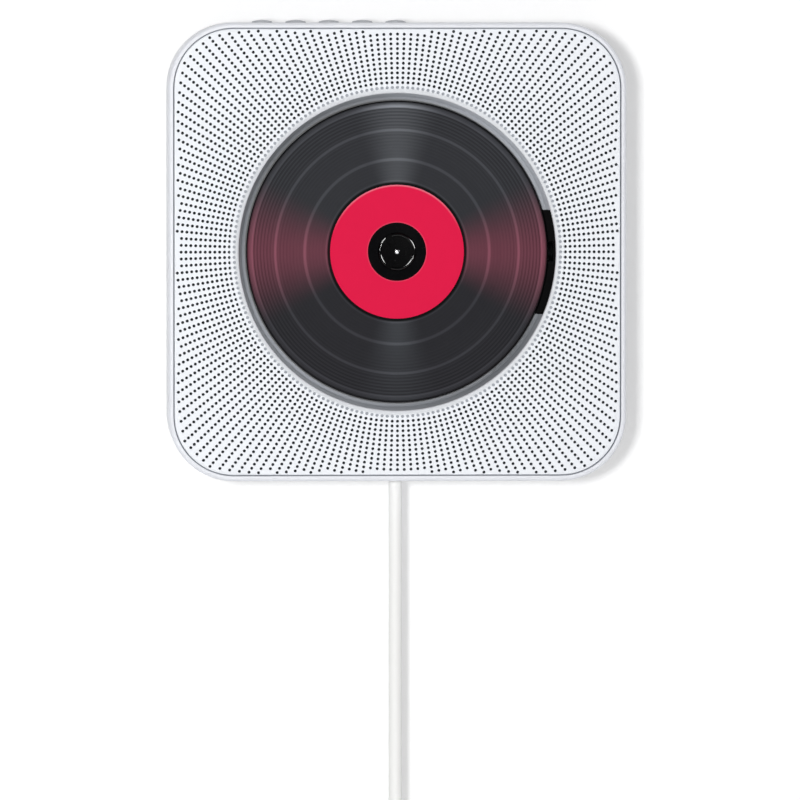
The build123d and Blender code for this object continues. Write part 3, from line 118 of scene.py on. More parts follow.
# ---- shader expressions
class Link:
    """The output of a shader node, with arithmetic that adds Math nodes."""

    def __init__(self, graph: "Graph", socket: NodeSocket) -> None:
        """Wraps one output socket of a graph."""
        self.graph = graph
        self.socket = socket

    def __add__(self, other: "Value") -> "Link":
        """Sum."""
        return self.graph.math("ADD", self, other)

    __radd__ = __add__

    def __sub__(self, other: "Value") -> "Link":
        """Difference."""
        return self.graph.math("SUBTRACT", self, other)

    def __rsub__(self, other: "Value") -> "Link":
        """Difference from a number on the left."""
        return self.graph.math("SUBTRACT", other, self)

    def __mul__(self, other: "Value") -> "Link":
        """Product."""
        return self.graph.math("MULTIPLY", self, other)

    __rmul__ = __mul__

    def __truediv__(self, other: "Value") -> "Link":
        """Quotient."""
        return self.graph.math("DIVIDE", self, other)

    def __lt__(self, other: "Value") -> "Link":
        """1 where this is the smaller, else 0."""
        return self.graph.math("LESS_THAN", self, other)

    def between(self, low: float, high: float, soft: float) -> "Link":
        """1 from low to high and 0 outside, over soft sides."""
        return self.rise(low - soft, low + soft) * (1 - self.rise(high - soft, high + soft))

    def rise(self, start: float, end: float) -> "Link":
        """0 before start, 1 after end and a smooth step between."""
        made = self.graph.node(
            "ShaderNodeMapRange",
            {"interpolation_type": "SMOOTHSTEP", "clamp": True},
            {"Value": self, "From Min": start, "From Max": end, "To Min": 0.0, "To Max": 1.0},
        )
        return Link(self.graph, made.outputs["Result"])

    def swing(self, width: float) -> "Link":
        """What runs from 0 to 1, as a swing of a width about 0."""
        return (self - 0.5) * width

    def lifted(self) -> "Link":
        """What runs from -1 to 1, brought to 0 to 1."""
        return self * 0.5 + 0.5


Value = Link | float | int | Sequence[float]


def opaque(colour: Value) -> Value:
    """A colour with full alpha, or the link to one as it is."""
    return colour if isinstance(colour, Link) else (*colour, 1.0)


class Graph:
    """The node tree of one material or world."""

    def __init__(self, owner: Material | World) -> None:
        """Empties the owner's tree and gives it an output."""
        self.owner = owner
        owner.use_nodes = True
        self.tree = owner.node_tree
        self.tree.nodes.clear()
        kind = "World" if isinstance(owner, World) else "Material"
        self.output = self.node(f"ShaderNodeOutput{kind}")

    def node(
        self,
        kind: str,
        settings: dict[str, object] | None = None,
        values: dict[int | str, Value] | None = None,
    ) -> Node:
        """Adds a node.

        Args:
            kind: The node's type.
            settings: Its properties, set before its sockets are fed.
            values: Numbers, colours or links for its inputs, by name or number.

        Returns:
            The new node.
        """
        made = self.tree.nodes.new(kind)
        for key, value in (settings or {}).items():
            setattr(made, key, value)
        for key, value in (values or {}).items():
            if isinstance(value, Link):
                self.tree.links.new(value.socket, made.inputs[key])
            else:
                made.inputs[key].default_value = value
        return made

    def math(self, operation: str, *values: Value) -> Link:
        """A Math node over one, two or three values."""
        made = self.node("ShaderNodeMath", {"operation": operation}, dict(enumerate(values)))
        return Link(self, made.outputs[0])

    def mix(self, factor: Value, first: Value, second: Value) -> Link:
        """Mixes two colours: factor 0 is the first and 1 the second."""
        values = {0: factor, MIX_FIRST: opaque(first), MIX_SECOND: opaque(second)}
        return Link(self, self.node("ShaderNodeMix", {"data_type": "RGBA"}, values).outputs[MIX_RESULT])

    def scaled(self, colour: Value, factor: Value) -> Link:
        """A colour times a number."""
        made = self.node("ShaderNodeVectorMath", {"operation": "SCALE"}, {0: colour, "Scale": factor})
        return Link(self, made.outputs[0])

    def place(self) -> Link:
        """The point's place on the piece, in metres."""
        return Link(self, self.node("ShaderNodeTexCoord").outputs["Object"])

    def axes(self, vector: Link | None = None) -> tuple[Link, ...]:
        """The three parts of a vector, or else of the point's place in metres."""
        parts = self.node("ShaderNodeSeparateXYZ", None, {0: vector or self.place()}).outputs
        return tuple(Link(self, part) for part in parts)

    def polar(self) -> tuple[Link, Link]:
        """The point's distance from the player's middle line in metres, and its angle round it in radians."""
        across, _, up = self.axes()
        return self.math("SQRT", across * across + up * up), self.math("ARCTAN2", up, across)

    def stretched(self, scale: Point) -> Link:
        """The point's place, each part times its own scale."""
        made = self.node("ShaderNodeVectorMath", {"operation": "MULTIPLY"}, {0: self.place(), 1: scale})
        return Link(self, made.outputs[0])

    def noise(self, size: float, detail: float = 2.0, place: Link | None = None) -> Link:
        """Noise from 0 to 1 with blobs of a size in metres, read at the point's own place or at another."""
        values = {"Vector": place or self.place(), "Scale": 1 / size, "Detail": detail, "Roughness": 0.55}
        return Link(self, self.node("ShaderNodeTexNoise", None, values).outputs["Fac"])

    def ray(self, kind: str) -> Link:
        """What the Light Path node says of a ray."""
        return Link(self, self.node("ShaderNodeLightPath").outputs[kind])

    def finish(
        self,
        colour: Value,
        roughness: Value,
        relief: Link | None = None,
        relief_depth: float = 0.0,
        metallic: Value = 0.0,
        gloss: float = 0.5,
        **constants: float,
    ) -> None:
        """Closes the tree with a Principled shader.

        Args:
            colour: Base colour.
            roughness: Roughness.
            relief: Height from 0 to 1 of a fine relief.
            relief_depth: The relief's depth in metres.
            metallic: Metallic share.
            gloss: Specular level.
            constants: Numbers for other sockets of the shader, by name with _ for each space.
        """
        values: dict[int | str, Value] = {
            "Base Color": opaque(colour),
            "Roughness": roughness,
            "Metallic": metallic,
            "Specular IOR Level": gloss,
            **{name.replace("_", " "): value for name, value in constants.items()},
        }
        if relief is not None:
            height = {"Height": relief, "Strength": 1.0, "Distance": relief_depth}
            bump = self.node("ShaderNodeBump", None, height)
            values["Normal"] = Link(self, bump.outputs["Normal"])
        self.close(self.node("ShaderNodeBsdfPrincipled", None, values))

    def close(self, shader: Node) -> None:
        """Leads a shader to the output."""
        self.tree.links.new(shader.outputs[0], self.output.inputs[0])


# ---- finishes
@dataclass(frozen=True)
class Finish:
    """A named finish with a main colour. Every finish's sizes, depths and radii are in metres."""

    name: str
    colour: Colour

    def material(self) -> Material:
        """Builds the finish.

        Returns:
            The finished material.
        """
        graph = Graph(bpy.data.materials.new(self.name))
        self.paint(graph)
        return graph.owner

    def paint(self, graph: Graph) -> None:
        """Fills the material's graph."""
        raise NotImplementedError

    def shade(self, share: float) -> Colour:
        """The main colour times a number, white at the most."""
        return tuple(min(1.0, part * share) for part in self.colour)


@dataclass(frozen=True)
class MouldedPlastic(Finish):
    """Injection moulded plastic with a fine spark eroded grain and faint flow clouds."""

    roughness: float = 0.42
    grain: float = 0.00035
    grain_depth: float = 0.000008
    mottle: float = 0.03
    cloud: float = 0.02
    gloss: float = 0.5
    cloud_wear: float = 0.08
    grain_wear: float = 0.10
    grain_detail: float = 3.0
    lighter: float = 0.5

    def paint(self, graph: Graph) -> None:
        """Fills the material's graph."""
        clouds = graph.noise(self.cloud, 3.0)
        grain = graph.noise(self.grain, self.grain_detail)
        light = self.shade(1 + self.mottle * self.lighter)
        colour = graph.mix(clouds, self.shade(1 - self.mottle), light)
        roughness = self.roughness + clouds.swing(self.cloud_wear) + grain.swing(self.grain_wear)
        graph.finish(self.toned(graph, colour), roughness, grain, self.grain_depth, gloss=self.gloss)

    def toned(self, graph: Graph, colour: Link) -> Link:
        """The colour as it changes over the piece: evenly, unless a finish says more."""
        return colour


@dataclass(frozen=True)
class PanelPlastic(MouldedPlastic):
    """The front panel's plastic, with painted shade that greys the lip round its mouth."""

    lip: Flat = (0.0642, 0.0654)
    lip_shade: float = 0.80

    def toned(self, graph: Graph, colour: Link) -> Link:
        """The colour, greyed on the lip by painted shade."""
        # Painted shade: the colour is darkened on the lip round the mouth.
        outside = graph.polar()[0].rise(*self.lip)
        return graph.scaled(colour, self.lip_shade + outside * (1 - self.lip_shade))


@dataclass(frozen=True)
class TrayPlastic(MouldedPlastic):
    """The well's satin ring: grey outside the disc, with painted shade near black under the disc and darker
    beside its edge, and a painted reflection that waxes and wanes twice round.
    """

    under_disc_shade: float = 0.05
    ring: Flat = (0.0601, 0.0609)
    outward: Flat = (0.0606, 0.0621)
    ring_inner_shade: float = 0.72
    ring_outer_tone: float = 1.22
    painted_reflection: float = 0.34
    reflection_turns: float = 2.0

    def toned(self, graph: Graph, colour: Link) -> Link:
        """The colour, with painted shade near black under the disc and darker beside its edge, and a painted
        reflection waxing and waning round the ring.

        Args:
            graph: The material's graph.
            colour: The plastic's own colour.

        Returns:
            The toned colour.
        """
        radius, angle = graph.polar()
        # Painted reflection: the grey waxes and wanes twice round the ring.
        wave = graph.math("SINE", angle * self.reflection_turns) * self.painted_reflection + 1.0
        # Painted shade: near black under the disc and darker beside its edge, lighter outwards.
        gain = self.ring_outer_tone - self.ring_inner_shade
        level = self.ring_inner_shade + radius.rise(*self.outward) * gain
        ring = radius.rise(*self.ring) * (level * wave - self.under_disc_shade)
        return graph.scaled(colour, self.under_disc_shade + ring)


@dataclass(frozen=True)
class SheetMetal(Finish):
    """Metal sheet or bar with drawn lines along one axis and cloudy plating."""

    roughness: float = 0.34
    lines: Point = (60.0, 2500.0, 2500.0)
    line_depth: float = 0.000006
    metallic: float = 1.0
    cloud: float = 0.006
    cloud_share: float = 0.6
    dark: float = 0.78
    line_wear: float = 0.22
    cloud_wear: float = 0.12

    def paint(self, graph: Graph) -> None:
        """Fills the material's graph."""
        lines = graph.noise(1.0, 2.0, graph.stretched(self.lines))
        clouds = graph.noise(self.cloud, 3.0)
        light = clouds * self.cloud_share + lines * (1 - self.cloud_share)
        colour = graph.mix(light, self.shade(self.dark), self.colour)
        roughness = self.roughness + lines.swing(self.line_wear) + clouds.swing(self.cloud_wear)
        graph.finish(colour, roughness, lines, self.line_depth, self.metallic)


@dataclass(frozen=True)
class PowderCoat(Finish):
    """Powder coated steel with a fine orange peel."""

    roughness: float = 0.38
    peel: float = 0.0009
    peel_depth: float = 0.00003
    peel_wear: float = 0.2
    cloud: float = 0.015
    dark: float = 0.93

    def paint(self, graph: Graph) -> None:
        """Fills the material's graph."""
        peel = graph.noise(self.peel, 2.0)
        colour = graph.mix(graph.noise(self.cloud, 2.0), self.shade(self.dark), self.colour)
        graph.finish(colour, self.roughness + peel.swing(self.peel_wear), peel, self.peel_depth)


@dataclass(frozen=True)
class SpeakerCloth(Finish):
    """Thin plain woven acoustic cloth."""

    thread: float = 0.00035
    thread_depth: float = 0.00008
    fluff: float = 0.0006
    weave_share: float = 0.7
    dark: float = 0.55
    roughness: float = 0.92
    weave_wear: float = 0.1
    sheen: float = 0.15

    def paint(self, graph: Graph) -> None:
        """Fills the material's graph."""
        across, _, up = graph.axes()
        turns = FULL_TURN / (2 * self.thread)
        weave = (graph.math("SINE", across * turns) * graph.math("SINE", up * turns)).lifted()
        light = weave * self.weave_share + graph.noise(self.fluff, 3.0) * (1 - self.weave_share)
        colour = graph.mix(light, self.shade(self.dark), self.colour)
        roughness = self.roughness - weave * self.weave_wear
        graph.finish(colour, roughness, weave, self.thread_depth, Sheen_Weight=self.sheen)


@dataclass(frozen=True)
class Rubber(MouldedPlastic):
    """Soft rubber or a soft cord sleeve, with a faint bloom."""

    roughness: float = 0.62
    grain: float = 0.0004
    grain_depth: float = 0.000012
    mottle: float = 0.06
    cloud: float = 0.004
    cloud_wear: float = 0.12
    grain_wear: float = 0.08
    grain_detail: float = 2.0
    lighter: float = 0.0


@dataclass(frozen=True)
class CircuitBoard(Finish):
    """Solder resist, the main colour, over copper tracks, with plated pads."""

    copper: Colour
    roughness: float = 0.34
    pitch: float = 0.0024
    slope: Flat = (0.5, 0.2)
    wander: float = 0.012
    wander_width: float = 0.02
    track: Flat = (0.62, 0.72)
    track_tone: float = 1.7
    pad_pitch: float = 0.0042
    pad_scatter: float = 0.6
    pad: Flat = (0.14, 0.18)
    pad_wear: float = 0.1
    pad_metal: float = 0.9
    relief_depth: float = 0.00003

    def paint(self, graph: Graph) -> None:
        """Fills the material's graph."""
        across, away, up = graph.axes()
        course = across + away * self.slope[0] + up * self.slope[1]
        course = course + graph.noise(self.wander, 1.0) * self.wander_width
        line = graph.math("PINGPONG", course, self.pitch)
        track = (line / self.pitch).rise(*self.track)
        places = {"Vector": graph.place(), "Scale": 1 / self.pad_pitch, "Randomness": self.pad_scatter}
        cells = graph.node("ShaderNodeTexVoronoi", None, places)
        pad = 1 - Link(graph, cells.outputs["Distance"]).rise(*self.pad)
        board = graph.mix(track, self.colour, self.shade(self.track_tone))
        colour = graph.mix(pad, board, self.copper)
        roughness = self.roughness + pad * self.pad_wear
        graph.finish(colour, roughness, track + pad, self.relief_depth, pad * self.pad_metal)


@dataclass(frozen=True)
class RecordPrint(Finish):
    """A printed long playing record: dark rings with lighter bands, and painted reflections printed into its
    look: two red glows, two grey gleams and a shine on the outer band.

    The main colour is the upper half's. Angles are in degrees.
    """

    lower: Colour = srgb(41, 41, 45)
    glow: Colour = srgb(104, 58, 70)
    gleam: Colour = srgb(78, 80, 84)
    gleam_low: Colour = srgb(62, 64, 68)
    band_radii: tuple[float, ...] = (0.0367, 0.0484, 0.0579)
    band_half: float = 0.0006
    band_soft: float = 0.00036
    groove_pitch: float = 0.0013
    halves: Flat = (-0.012, 0.012)
    fade: Flat = (0.028, 0.058)
    fade_share: float = 0.6
    fine_share: float = 0.43
    coarse_weight: float = 0.6
    growth: Flat = (0.038, 0.0596)
    ripple_growth: float = 0.38
    ripple_least: float = 0.05
    black: Flat = (0.0275, 0.0278)
    line: Flat = (0.028, 0.0285)
    line_soft: float = 0.0001
    rim: Flat = (0.059, 0.0595)
    glow_half: float = 31.0
    gleam_half: float = 19.0
    shine_half: float = 26.0
    band_light: float = 0.75
    shine_light: float = 1.6
    edge_highlight_gain: float = 0.5
    rim_shade: float = 0.55
    black_shade: float = 0.92
    roughness: float = 0.5
    band_polish: float = 0.08
    relief_pitch: float = 0.0004
    relief_depth: float = 0.000004
    gloss: float = 0.04

    def band(self, radius: Link, middle: float) -> Link:
        """A soft ring about a radius."""
        return radius.between(middle - self.band_half, middle + self.band_half, self.band_soft)

    def lobe(self, angle: Link, centre: float, half: float) -> Link:
        """A soft sector: 1 at its centre's angle and 0 from half its width on, in degrees."""
        turn = angle.graph.math("WRAP", angle - centre, 180.0, -180.0)
        return 1 - angle.graph.math("ABSOLUTE", turn).rise(0.0, half)

    def wave(self, radius: Link, pitch: float) -> Link:
        """A sine along the radius."""
        return radius.graph.math("SINE", radius * (FULL_TURN / pitch))

    def ground(self, graph: Graph, radius: Link, angle: Link) -> Link:
        """The print's colour without its rings: two halves, two gleams and two glows.

        Args:
            graph: The material's graph.
            radius: The point's distance from the middle.
            angle: Its angle in degrees, from -180 to 180.

        Returns:
            The colour.
        """
        high = graph.axes()[2].rise(*self.halves)
        fade = radius.rise(*self.fade)
        # Painted reflections printed into the vinyl look: grey gleams below and above the middle.
        low_gleam = self.lobe(angle, -90.0, self.gleam_half) * (1 - fade * self.fade_share)
        base = graph.mix(low_gleam, graph.mix(high, self.lower, self.colour), self.gleam_low)
        base = graph.mix(self.lobe(angle, 90.0, self.gleam_half), base, self.gleam)
        # Painted reflections printed into the vinyl look: red glows to the left and right.
        glows = self.lobe(angle, 0.0, self.glow_half) + self.lobe(angle, 180.0, self.glow_half)
        return graph.mix(glows, base, self.glow)

    def paint(self, graph: Graph) -> None:
        """Fills the material's graph."""
        radius, turn = graph.polar()
        angle = turn * (180 / pi)
        coarse = self.wave(radius, self.groove_pitch)
        fine = self.wave(radius, self.groove_pitch * self.fine_share)
        ripple = coarse * self.coarse_weight + fine * (1 - self.coarse_weight)
        ripple = ripple * (radius.rise(*self.growth) * self.ripple_growth + self.ripple_least)
        bands = sum(self.band(radius, middle) for middle in self.band_radii)
        # Painted highlight printed into the vinyl look: a shine on the outer band at the top.
        shine = self.band(radius, self.band_radii[-1]) * self.lobe(angle, 90.0, self.shine_half)
        # Painted highlight printed into the vinyl look: a light line just outside the label's edge.
        line = radius.between(*self.line, self.line_soft)
        rim = radius.rise(*self.rim)
        black = 1 - radius.rise(*self.black)
        light = 1 + ripple + bands * self.band_light + shine * self.shine_light + line * self.edge_highlight_gain
        factor = light * (1 - rim * self.rim_shade) * (1 - black * self.black_shade)
        graph.finish(
            graph.scaled(self.ground(graph, radius, angle), factor),
            self.roughness - bands * self.band_polish,
            self.wave(radius, self.relief_pitch).lifted(),
            self.relief_depth,
            gloss=self.gloss,
        )


@dataclass(frozen=True)
class LabelPrint(Finish):
    """A plain red paper label with a painted highlight along its upper edge, paler at its inner edge, and
    with one fine ring near its rim.
    """

    pale: Colour = (0.88, 0.22, 0.30)
    paper: float = 0.0008
    paper_depth: float = 0.000006
    paper_wear: float = 0.12
    cloud: float = 0.012
    dark: float = 0.96
    above: Flat = (0.006, 0.024)
    highlight_edge: Flat = (0.0257, 0.0264)
    highlight_share: float = 0.75
    inner_edge: Flat = (0.0116, 0.0122)
    inner_share: float = 0.25
    ring: Flat = (0.0244, 0.0248)
    ring_soft: float = 0.0001
    ring_share: float = 0.22
    roughness: float = 0.5
    gloss: float = 0.05

    def paint(self, graph: Graph) -> None:
        """Fills the material's graph."""
        radius, _ = graph.polar()
        paper = graph.noise(self.paper, 4.0)
        dark = self.shade(self.dark)
        colour = graph.mix(graph.noise(self.cloud, 2.0) * 0.5 + paper * 0.5, dark, self.colour)
        # Painted highlight: the label's upper edge is paler, as if lit from above.
        upper = radius.rise(*self.highlight_edge) * graph.axes()[2].rise(*self.above)
        inner = 1 - radius.rise(*self.inner_edge)
        colour = graph.mix(upper * self.highlight_share + inner * self.inner_share, colour, self.pale)
        ring = radius.between(*self.ring, self.ring_soft)
        colour = graph.mix(ring * self.ring_share, colour, dark)
        roughness = self.roughness + paper.swing(self.paper_wear)
        graph.finish(colour, roughness, paper, self.paper_depth, gloss=self.gloss)


@dataclass(frozen=True)
class DataSide(Finish):
    """The mirrored underside of a disc: a silver track area, the main colour, between clear rings.

    The green and the violet are a painted rainbow reflection that runs round it in sectors leaning by a turn
    in radians for each metre outwards.
    """

    colour: Colour = (0.62, 0.63, 0.66)
    tracks: Flat = (0.0225, 0.0585)
    soft: float = 0.0002
    clear: Colour = (0.012, 0.012, 0.014)
    green: Colour = (0.35, 0.62, 0.60)
    violet: Colour = (0.66, 0.42, 0.62)
    green_share: float = 0.35
    violet_share: float = 0.3
    rainbow_fans: float = 4.0
    green_lean: float = 60.0
    violet_lean: float = 160.0
    violet_lag: float = 2.1
    roughness: float = 0.12
    clear_wear: float = 0.1

    def paint(self, graph: Graph) -> None:
        """Fills the material's graph."""
        radius, angle = graph.polar()
        tracks = radius.between(*self.tracks, self.soft)
        # Painted reflection: green and violet rainbow sectors over the silver.
        turns = angle * self.rainbow_fans
        rainbow_green = graph.math("SINE", turns + radius * self.green_lean).lifted()
        rainbow_violet = graph.math("SINE", turns + radius * self.violet_lean + self.violet_lag).lifted()
        silver = graph.mix(rainbow_green * self.green_share, self.colour, self.green)
        silver = graph.mix(rainbow_violet * self.violet_share, silver, self.violet)
        colour = graph.mix(tracks, self.clear, silver)
        graph.finish(colour, self.roughness + (1 - tracks) * self.clear_wear, metallic=tracks)


@dataclass(frozen=True)
class CoatedGlass(Finish):
    """A small coated lens."""

    haze: float = 0.0012
    light: float = 1.6
    roughness: float = 0.06
    haze_wear: float = 0.04
    metallic: float = 0.2

    def paint(self, graph: Graph) -> None:
        """Fills the material's graph."""
        haze = graph.noise(self.haze, 2.0)
        colour = graph.mix(haze, self.colour, self.shade(self.light))
        coat = {"Coat_Weight": 0.8, "Coat_Roughness": 0.02, "IOR": 1.5}
        graph.finish(colour, self.roughness + haze * self.haze_wear, metallic=self.metallic, **coat)


# ---- meshes
def spot(x: float, z: float, h: float) -> Point:
    """The place x across, z up and h off the wall, from millimetres."""
    return x * MM, -h * MM, z * MM


def circle(radius: float, h: float, sides: int, centre: Flat = (0.0, 0.0), start: float = 0.0) -> list[Point]:
    """A ring's corners parallel to the wall, from the start's angle in radians on; sizes in millimetres."""
    turns = (start + FULL_TURN * n / sides for n in range(sides))
    return [spot(centre[0] + radius * cos(a), centre[1] + radius * sin(a), h) for a in turns]


def rounded_square(half: float, corner: float, h: float, steps: int) -> list[Point]:
    """The corners of a rounded square parallel to the wall.

    Args:
        half: Half of its side in millimetres.
        corner: Its corners' radius in millimetres.
        h: Its distance from the wall in millimetres.
        steps: How many steps each corner's arc has.

    Returns:
        The corners in metres.
    """
    points = []
    for quarter, (side_x, side_z) in enumerate(((1, 1), (-1, 1), (-1, -1), (1, -1))):
        for step in range(steps + 1):
            angle = pi / 2 * (quarter + step / steps)
            x = side_x * (half - corner) + corner * cos(angle)
            z = side_z * (half - corner) + corner * sin(angle)
            points.append(spot(x, z, h))
    return points


@dataclass
class Shape:
    """Corners and faces gathered for one mesh, in metres."""

    corners: list[Point] = field(default_factory=list)
    faces: list[tuple[int, ...]] = field(default_factory=list)
    finishes: list[int] = field(default_factory=list)

    def loop(self, points: Iterable[Point]) -> list[int]:
        """Adds corners.

        Args:
            points: Their places in metres.

        Returns:
            Their numbers.
        """
        start = len(self.corners)
        self.corners.extend(points)
        return list(range(start, len(self.corners)))

    def face(self, corners: Sequence[int], finish: int = 0) -> None:
        """Adds one face with its finish's number."""
        self.faces.append(tuple(corners))
        self.finishes.append(finish)

    def band(self, first: Sequence[int], second: Sequence[int], finish: int = 0) -> None:
        """Joins two closed loops of equal length with four cornered faces.

        Args:
            first: One loop's corner numbers.
            second: The other's.
            finish: The finish's number.
        """
        for n, corner in enumerate(first):
            after = (n + 1) % len(first)
            self.face((corner, first[after], second[after], second[n]), finish)

    def tube(self, loops: Sequence[Sequence[int]], finish: int = 0, ends: Sequence[int] = (0, -1)) -> None:
        """Joins a row of loops and closes its ends.

        Args:
            loops: The loops' corner numbers, in order.
            finish: The finish's number.
            ends: Which loops get a face.
        """
        for first, second in zip(loops, loops[1:]):
            self.band(first, second, finish)
        for end in ends:
            self.face(loops[end], finish)

    def turned(
        self,
        profile: Sequence[Flat],
        sides: int,
        centre: Flat = (0.0, 0.0),
        finish_of: Callable[[int], int] = lambda number: 0,
    ) -> None:
        """Turns a closed profile about a line square to the wall.

        Args:
            profile: Radius and distance from the wall of each corner, in millimetres.
            sides: How many steps the turn has.
            centre: The line's place, across and up, in millimetres.
            finish_of: Gives the finish's number for each side of the profile.
        """
        loops = [self.loop(circle(radius, h, sides, centre)) for radius, h in profile]
        for number, first in enumerate(loops):
            self.band(first, loops[(number + 1) % len(loops)], finish_of(number))

    def piece(
        self,
        name: str,
        body: Body,
        slot: str,
        finishes: Sequence[Material],
        stands_for: Sequence[str] = (),
        smooth: float = 35.0,
    ) -> Object:
        """Makes the mesh an object that rides on a body.

        Args:
            name: The piece's name.
            body: What it moves with.
            slot: Not used.
            finishes: Its materials, in the order of the finishes' numbers.
            stands_for: The solids that it replaces.
            smooth: Edges sharper than this stay sharp, in degrees.

        Returns:
            The new object.
        """
        mesh = bpy.data.meshes.new(name)
        mesh.from_pydata(self.corners, [], self.faces)
        for material in finishes:
            mesh.materials.append(material)
        mesh.polygons.foreach_set("material_index", self.finishes)
        work = bmesh.new()
        work.from_mesh(mesh)
        bmesh.ops.recalc_face_normals(work, faces=work.faces)
        work.to_mesh(mesh)
        work.free()
        mesh.shade_smooth()
        mesh.set_sharp_from_angle(angle=radians(smooth))
        made = placed(name, mesh)
        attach(made, body.value)
        if stands_for:
            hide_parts(*stands_for)
        return made


# ---- studio
@dataclass(frozen=True)
class Studio:
    """The camera, the wall and floor, the lamps and the pale surroundings.

    Lengths are in metres, angles in degrees and powers in watts; the lens and sensor are in millimetres.
    """

    middle: Point = (0.0, -0.0431, 0.0)
    distance: float = 4.0
    from_left: float = 2.4
    from_above: float = 1.4
    aim: Point = (0.00099, -0.0431, -0.05878)
    lens: float = 453.5
    sensor: float = 36.0
    clip: float = 50.0
    wall_half: float = 2.6
    wall_y: float = 0.0003
    floor_z: float = -0.9
    key_power: float = 47.0
    key_side: float = 0.27
    key_from_left: float = 9.5
    key_from_above: float = 2.2
    key_distance: float = 3.0
    glint_turns: Flat = (140.0, 22.0)
    glint_lean: float = 0.30
    glint_distance: float = 1.2
    glint_width: float = 1.7
    glint_height: float = 0.55
    glint_power: float = 130.0
    surround: float = 0.43
    room_dim: float = 0.10
    behind: Flat = (-0.05, 0.15)
    wall_white: float = 0.80
    roller: float = 0.004
    roller_tone: float = 0.985
    contact: float = 0.012
    wall_lift: float = 0.31

    def around(self, from_left: float, from_above: float, distance: float) -> Vector:
        """A place round the player's middle.

        Args:
            from_left: How far to the left, in degrees.
            from_above: How far up, in degrees.
            distance: How far away.

        Returns:
            The place.
        """
        left, up = radians(from_left), radians(from_above)
        way = Vector((-sin(left) * cos(up), -cos(left) * cos(up), sin(up)))
        return Vector(self.middle) + way * distance

    def turn(self, made: Object, place: Vector, aim: Point) -> None:
        """Stands an object at a place and turns its front to a point."""
        made.location = place
        made.rotation_euler = (Vector(aim) - place).to_track_quat("-Z", "Y").to_euler()

    def camera(self) -> None:
        """Sets the camera."""
        data = bpy.data.cameras.new("camera")
        data.lens = self.lens
        data.sensor_width = self.sensor
        data.clip_end = self.clip
        made = placed("camera", data)
        self.turn(made, self.around(self.from_left, self.from_above, self.distance), self.aim)
        bpy.context.scene.camera = made

    def lamp(self, name: str, place: Vector, power: float, size: Flat) -> Object:
        """Sets an oblong lamp that faces the player's middle.

        Args:
            name: The lamp's name.
            place: Where it stands.
            power: Its power in watts.
            size: Its width and height in metres.

        Returns:
            The lamp.
        """
        data = bpy.data.lights.new(name, "AREA")
        data.shape = "RECTANGLE"
        data.energy = power
        data.size, data.size_y = size
        made = placed(name, data)
        self.turn(made, place, self.middle)
        return made

    def lamps(self) -> None:
        """Sets the key lamp, and the soft boxes that only glint in the polished black pieces."""
        key = self.around(self.key_from_left, self.key_from_above, self.key_distance)
        self.lamp("key_lamp", key, self.key_power, (self.key_side, self.key_side))
        polished = bpy.data.collections.new("polished_pieces")
        for node in POLISHED:
            polished.objects.link(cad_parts[node])
        for name, turn in zip(("glint_left", "glint_right"), self.glint_turns):
            way = Vector((cos(radians(turn)), -self.glint_lean, sin(radians(turn))))
            place = Vector(self.middle) + way * self.glint_distance
            made = self.lamp(name, place, self.glint_power, (self.glint_width, self.glint_height))
            made.visible_diffuse = False
            made.visible_camera = False
            made.light_linking.receiver_collection = polished

    def surroundings(self) -> None:
        """Sets a white world that lights gently, with a dim room in front for reflections."""
        world = bpy.data.worlds.new("surroundings")
        graph = Graph(world)
        mirrored = graph.ray("Is Glossy Ray")
        seen = graph.math("MINIMUM", graph.ray("Is Camera Ray") + graph.ray("Is Transmission Ray"), 1.0)
        way = Link(graph, graph.node("ShaderNodeTexCoord").outputs["Generated"])
        behind = graph.axes(way)[1].rise(*self.behind)
        reflected = self.room_dim + behind * (1 - self.room_dim)
        strength = seen + mirrored * reflected + (1 - seen - mirrored) * self.surround
        graph.close(graph.node("ShaderNodeBackground", None, {"Strength": strength}))
        bpy.context.scene.world = world

    def backdrop_finish(self, name: str) -> Material:
        """White paint that keeps shadows, is clear from behind and doesn't darken what touches it.

        Args:
            name: The material's name.

        Returns:
            The material.
        """
        graph = Graph(bpy.data.materials.new(name))
        dim = self.wall_white * self.roller_tone
        white = graph.mix(graph.noise(self.roller, 2.0), (dim,) * 3, (self.wall_white,) * 3)
        looks = [graph.ray(f"Is {kind} Ray") for kind in ("Camera", "Glossy", "Transmission")]
        seen = graph.math("MINIMUM", sum(looks), 1.0)
        lift = graph.mix(seen, (0.0, 0.0, 0.0), (self.wall_lift,) * 3)
        paint = graph.node(
            "ShaderNodeBsdfPrincipled",
            None,
            {
                "Base Color": white,
                "Roughness": 0.9,
                "Specular IOR Level": 0.0,
                "Emission Color": lift,
                "Emission Strength": 1.0,
            },
        )
        clear = graph.node("ShaderNodeBsdfTransparent")
        behind = Link(graph, graph.node("ShaderNodeNewGeometry").outputs["Backfacing"])
        touching = graph.ray("Is Diffuse Ray") * (graph.ray("Ray Length") < self.contact)
        sides = {
            0: graph.math("MAXIMUM", behind, touching),
            1: Link(graph, paint.outputs[0]),
            2: Link(graph, clear.outputs[0]),
        }
        graph.close(graph.node("ShaderNodeMixShader", None, sides))
        return graph.owner

    def sheet(self, name: str, corners: Sequence[Point]) -> None:
        """Makes a flat backdrop.

        Args:
            name: Its name.
            corners: Its corners, anticlockwise from its seen side.
        """
        mesh = bpy.data.meshes.new(name)
        mesh.from_pydata(list(corners), [], [tuple(range(len(corners)))])
        mesh.materials.append(self.backdrop_finish(name))
        made = placed(name, mesh)
        made.visible_shadow = False

    def build(self) -> None:
        """Sets the camera, lamps, world, wall and floor."""
        self.camera()
        self.lamps()
        self.surroundings()
        half, y, low = self.wall_half, self.wall_y, self.floor_z
        near = y - 2 * half
        self.sheet("wall", [(-half, y, low), (half, y, low), (half, y, half), (-half, y, half)])
        self.sheet("floor", [(-half, y, low), (-half, near, low), (half, near, low), (half, y, low)])
        bpy.context.scene.view_settings.view_transform = "Standard"


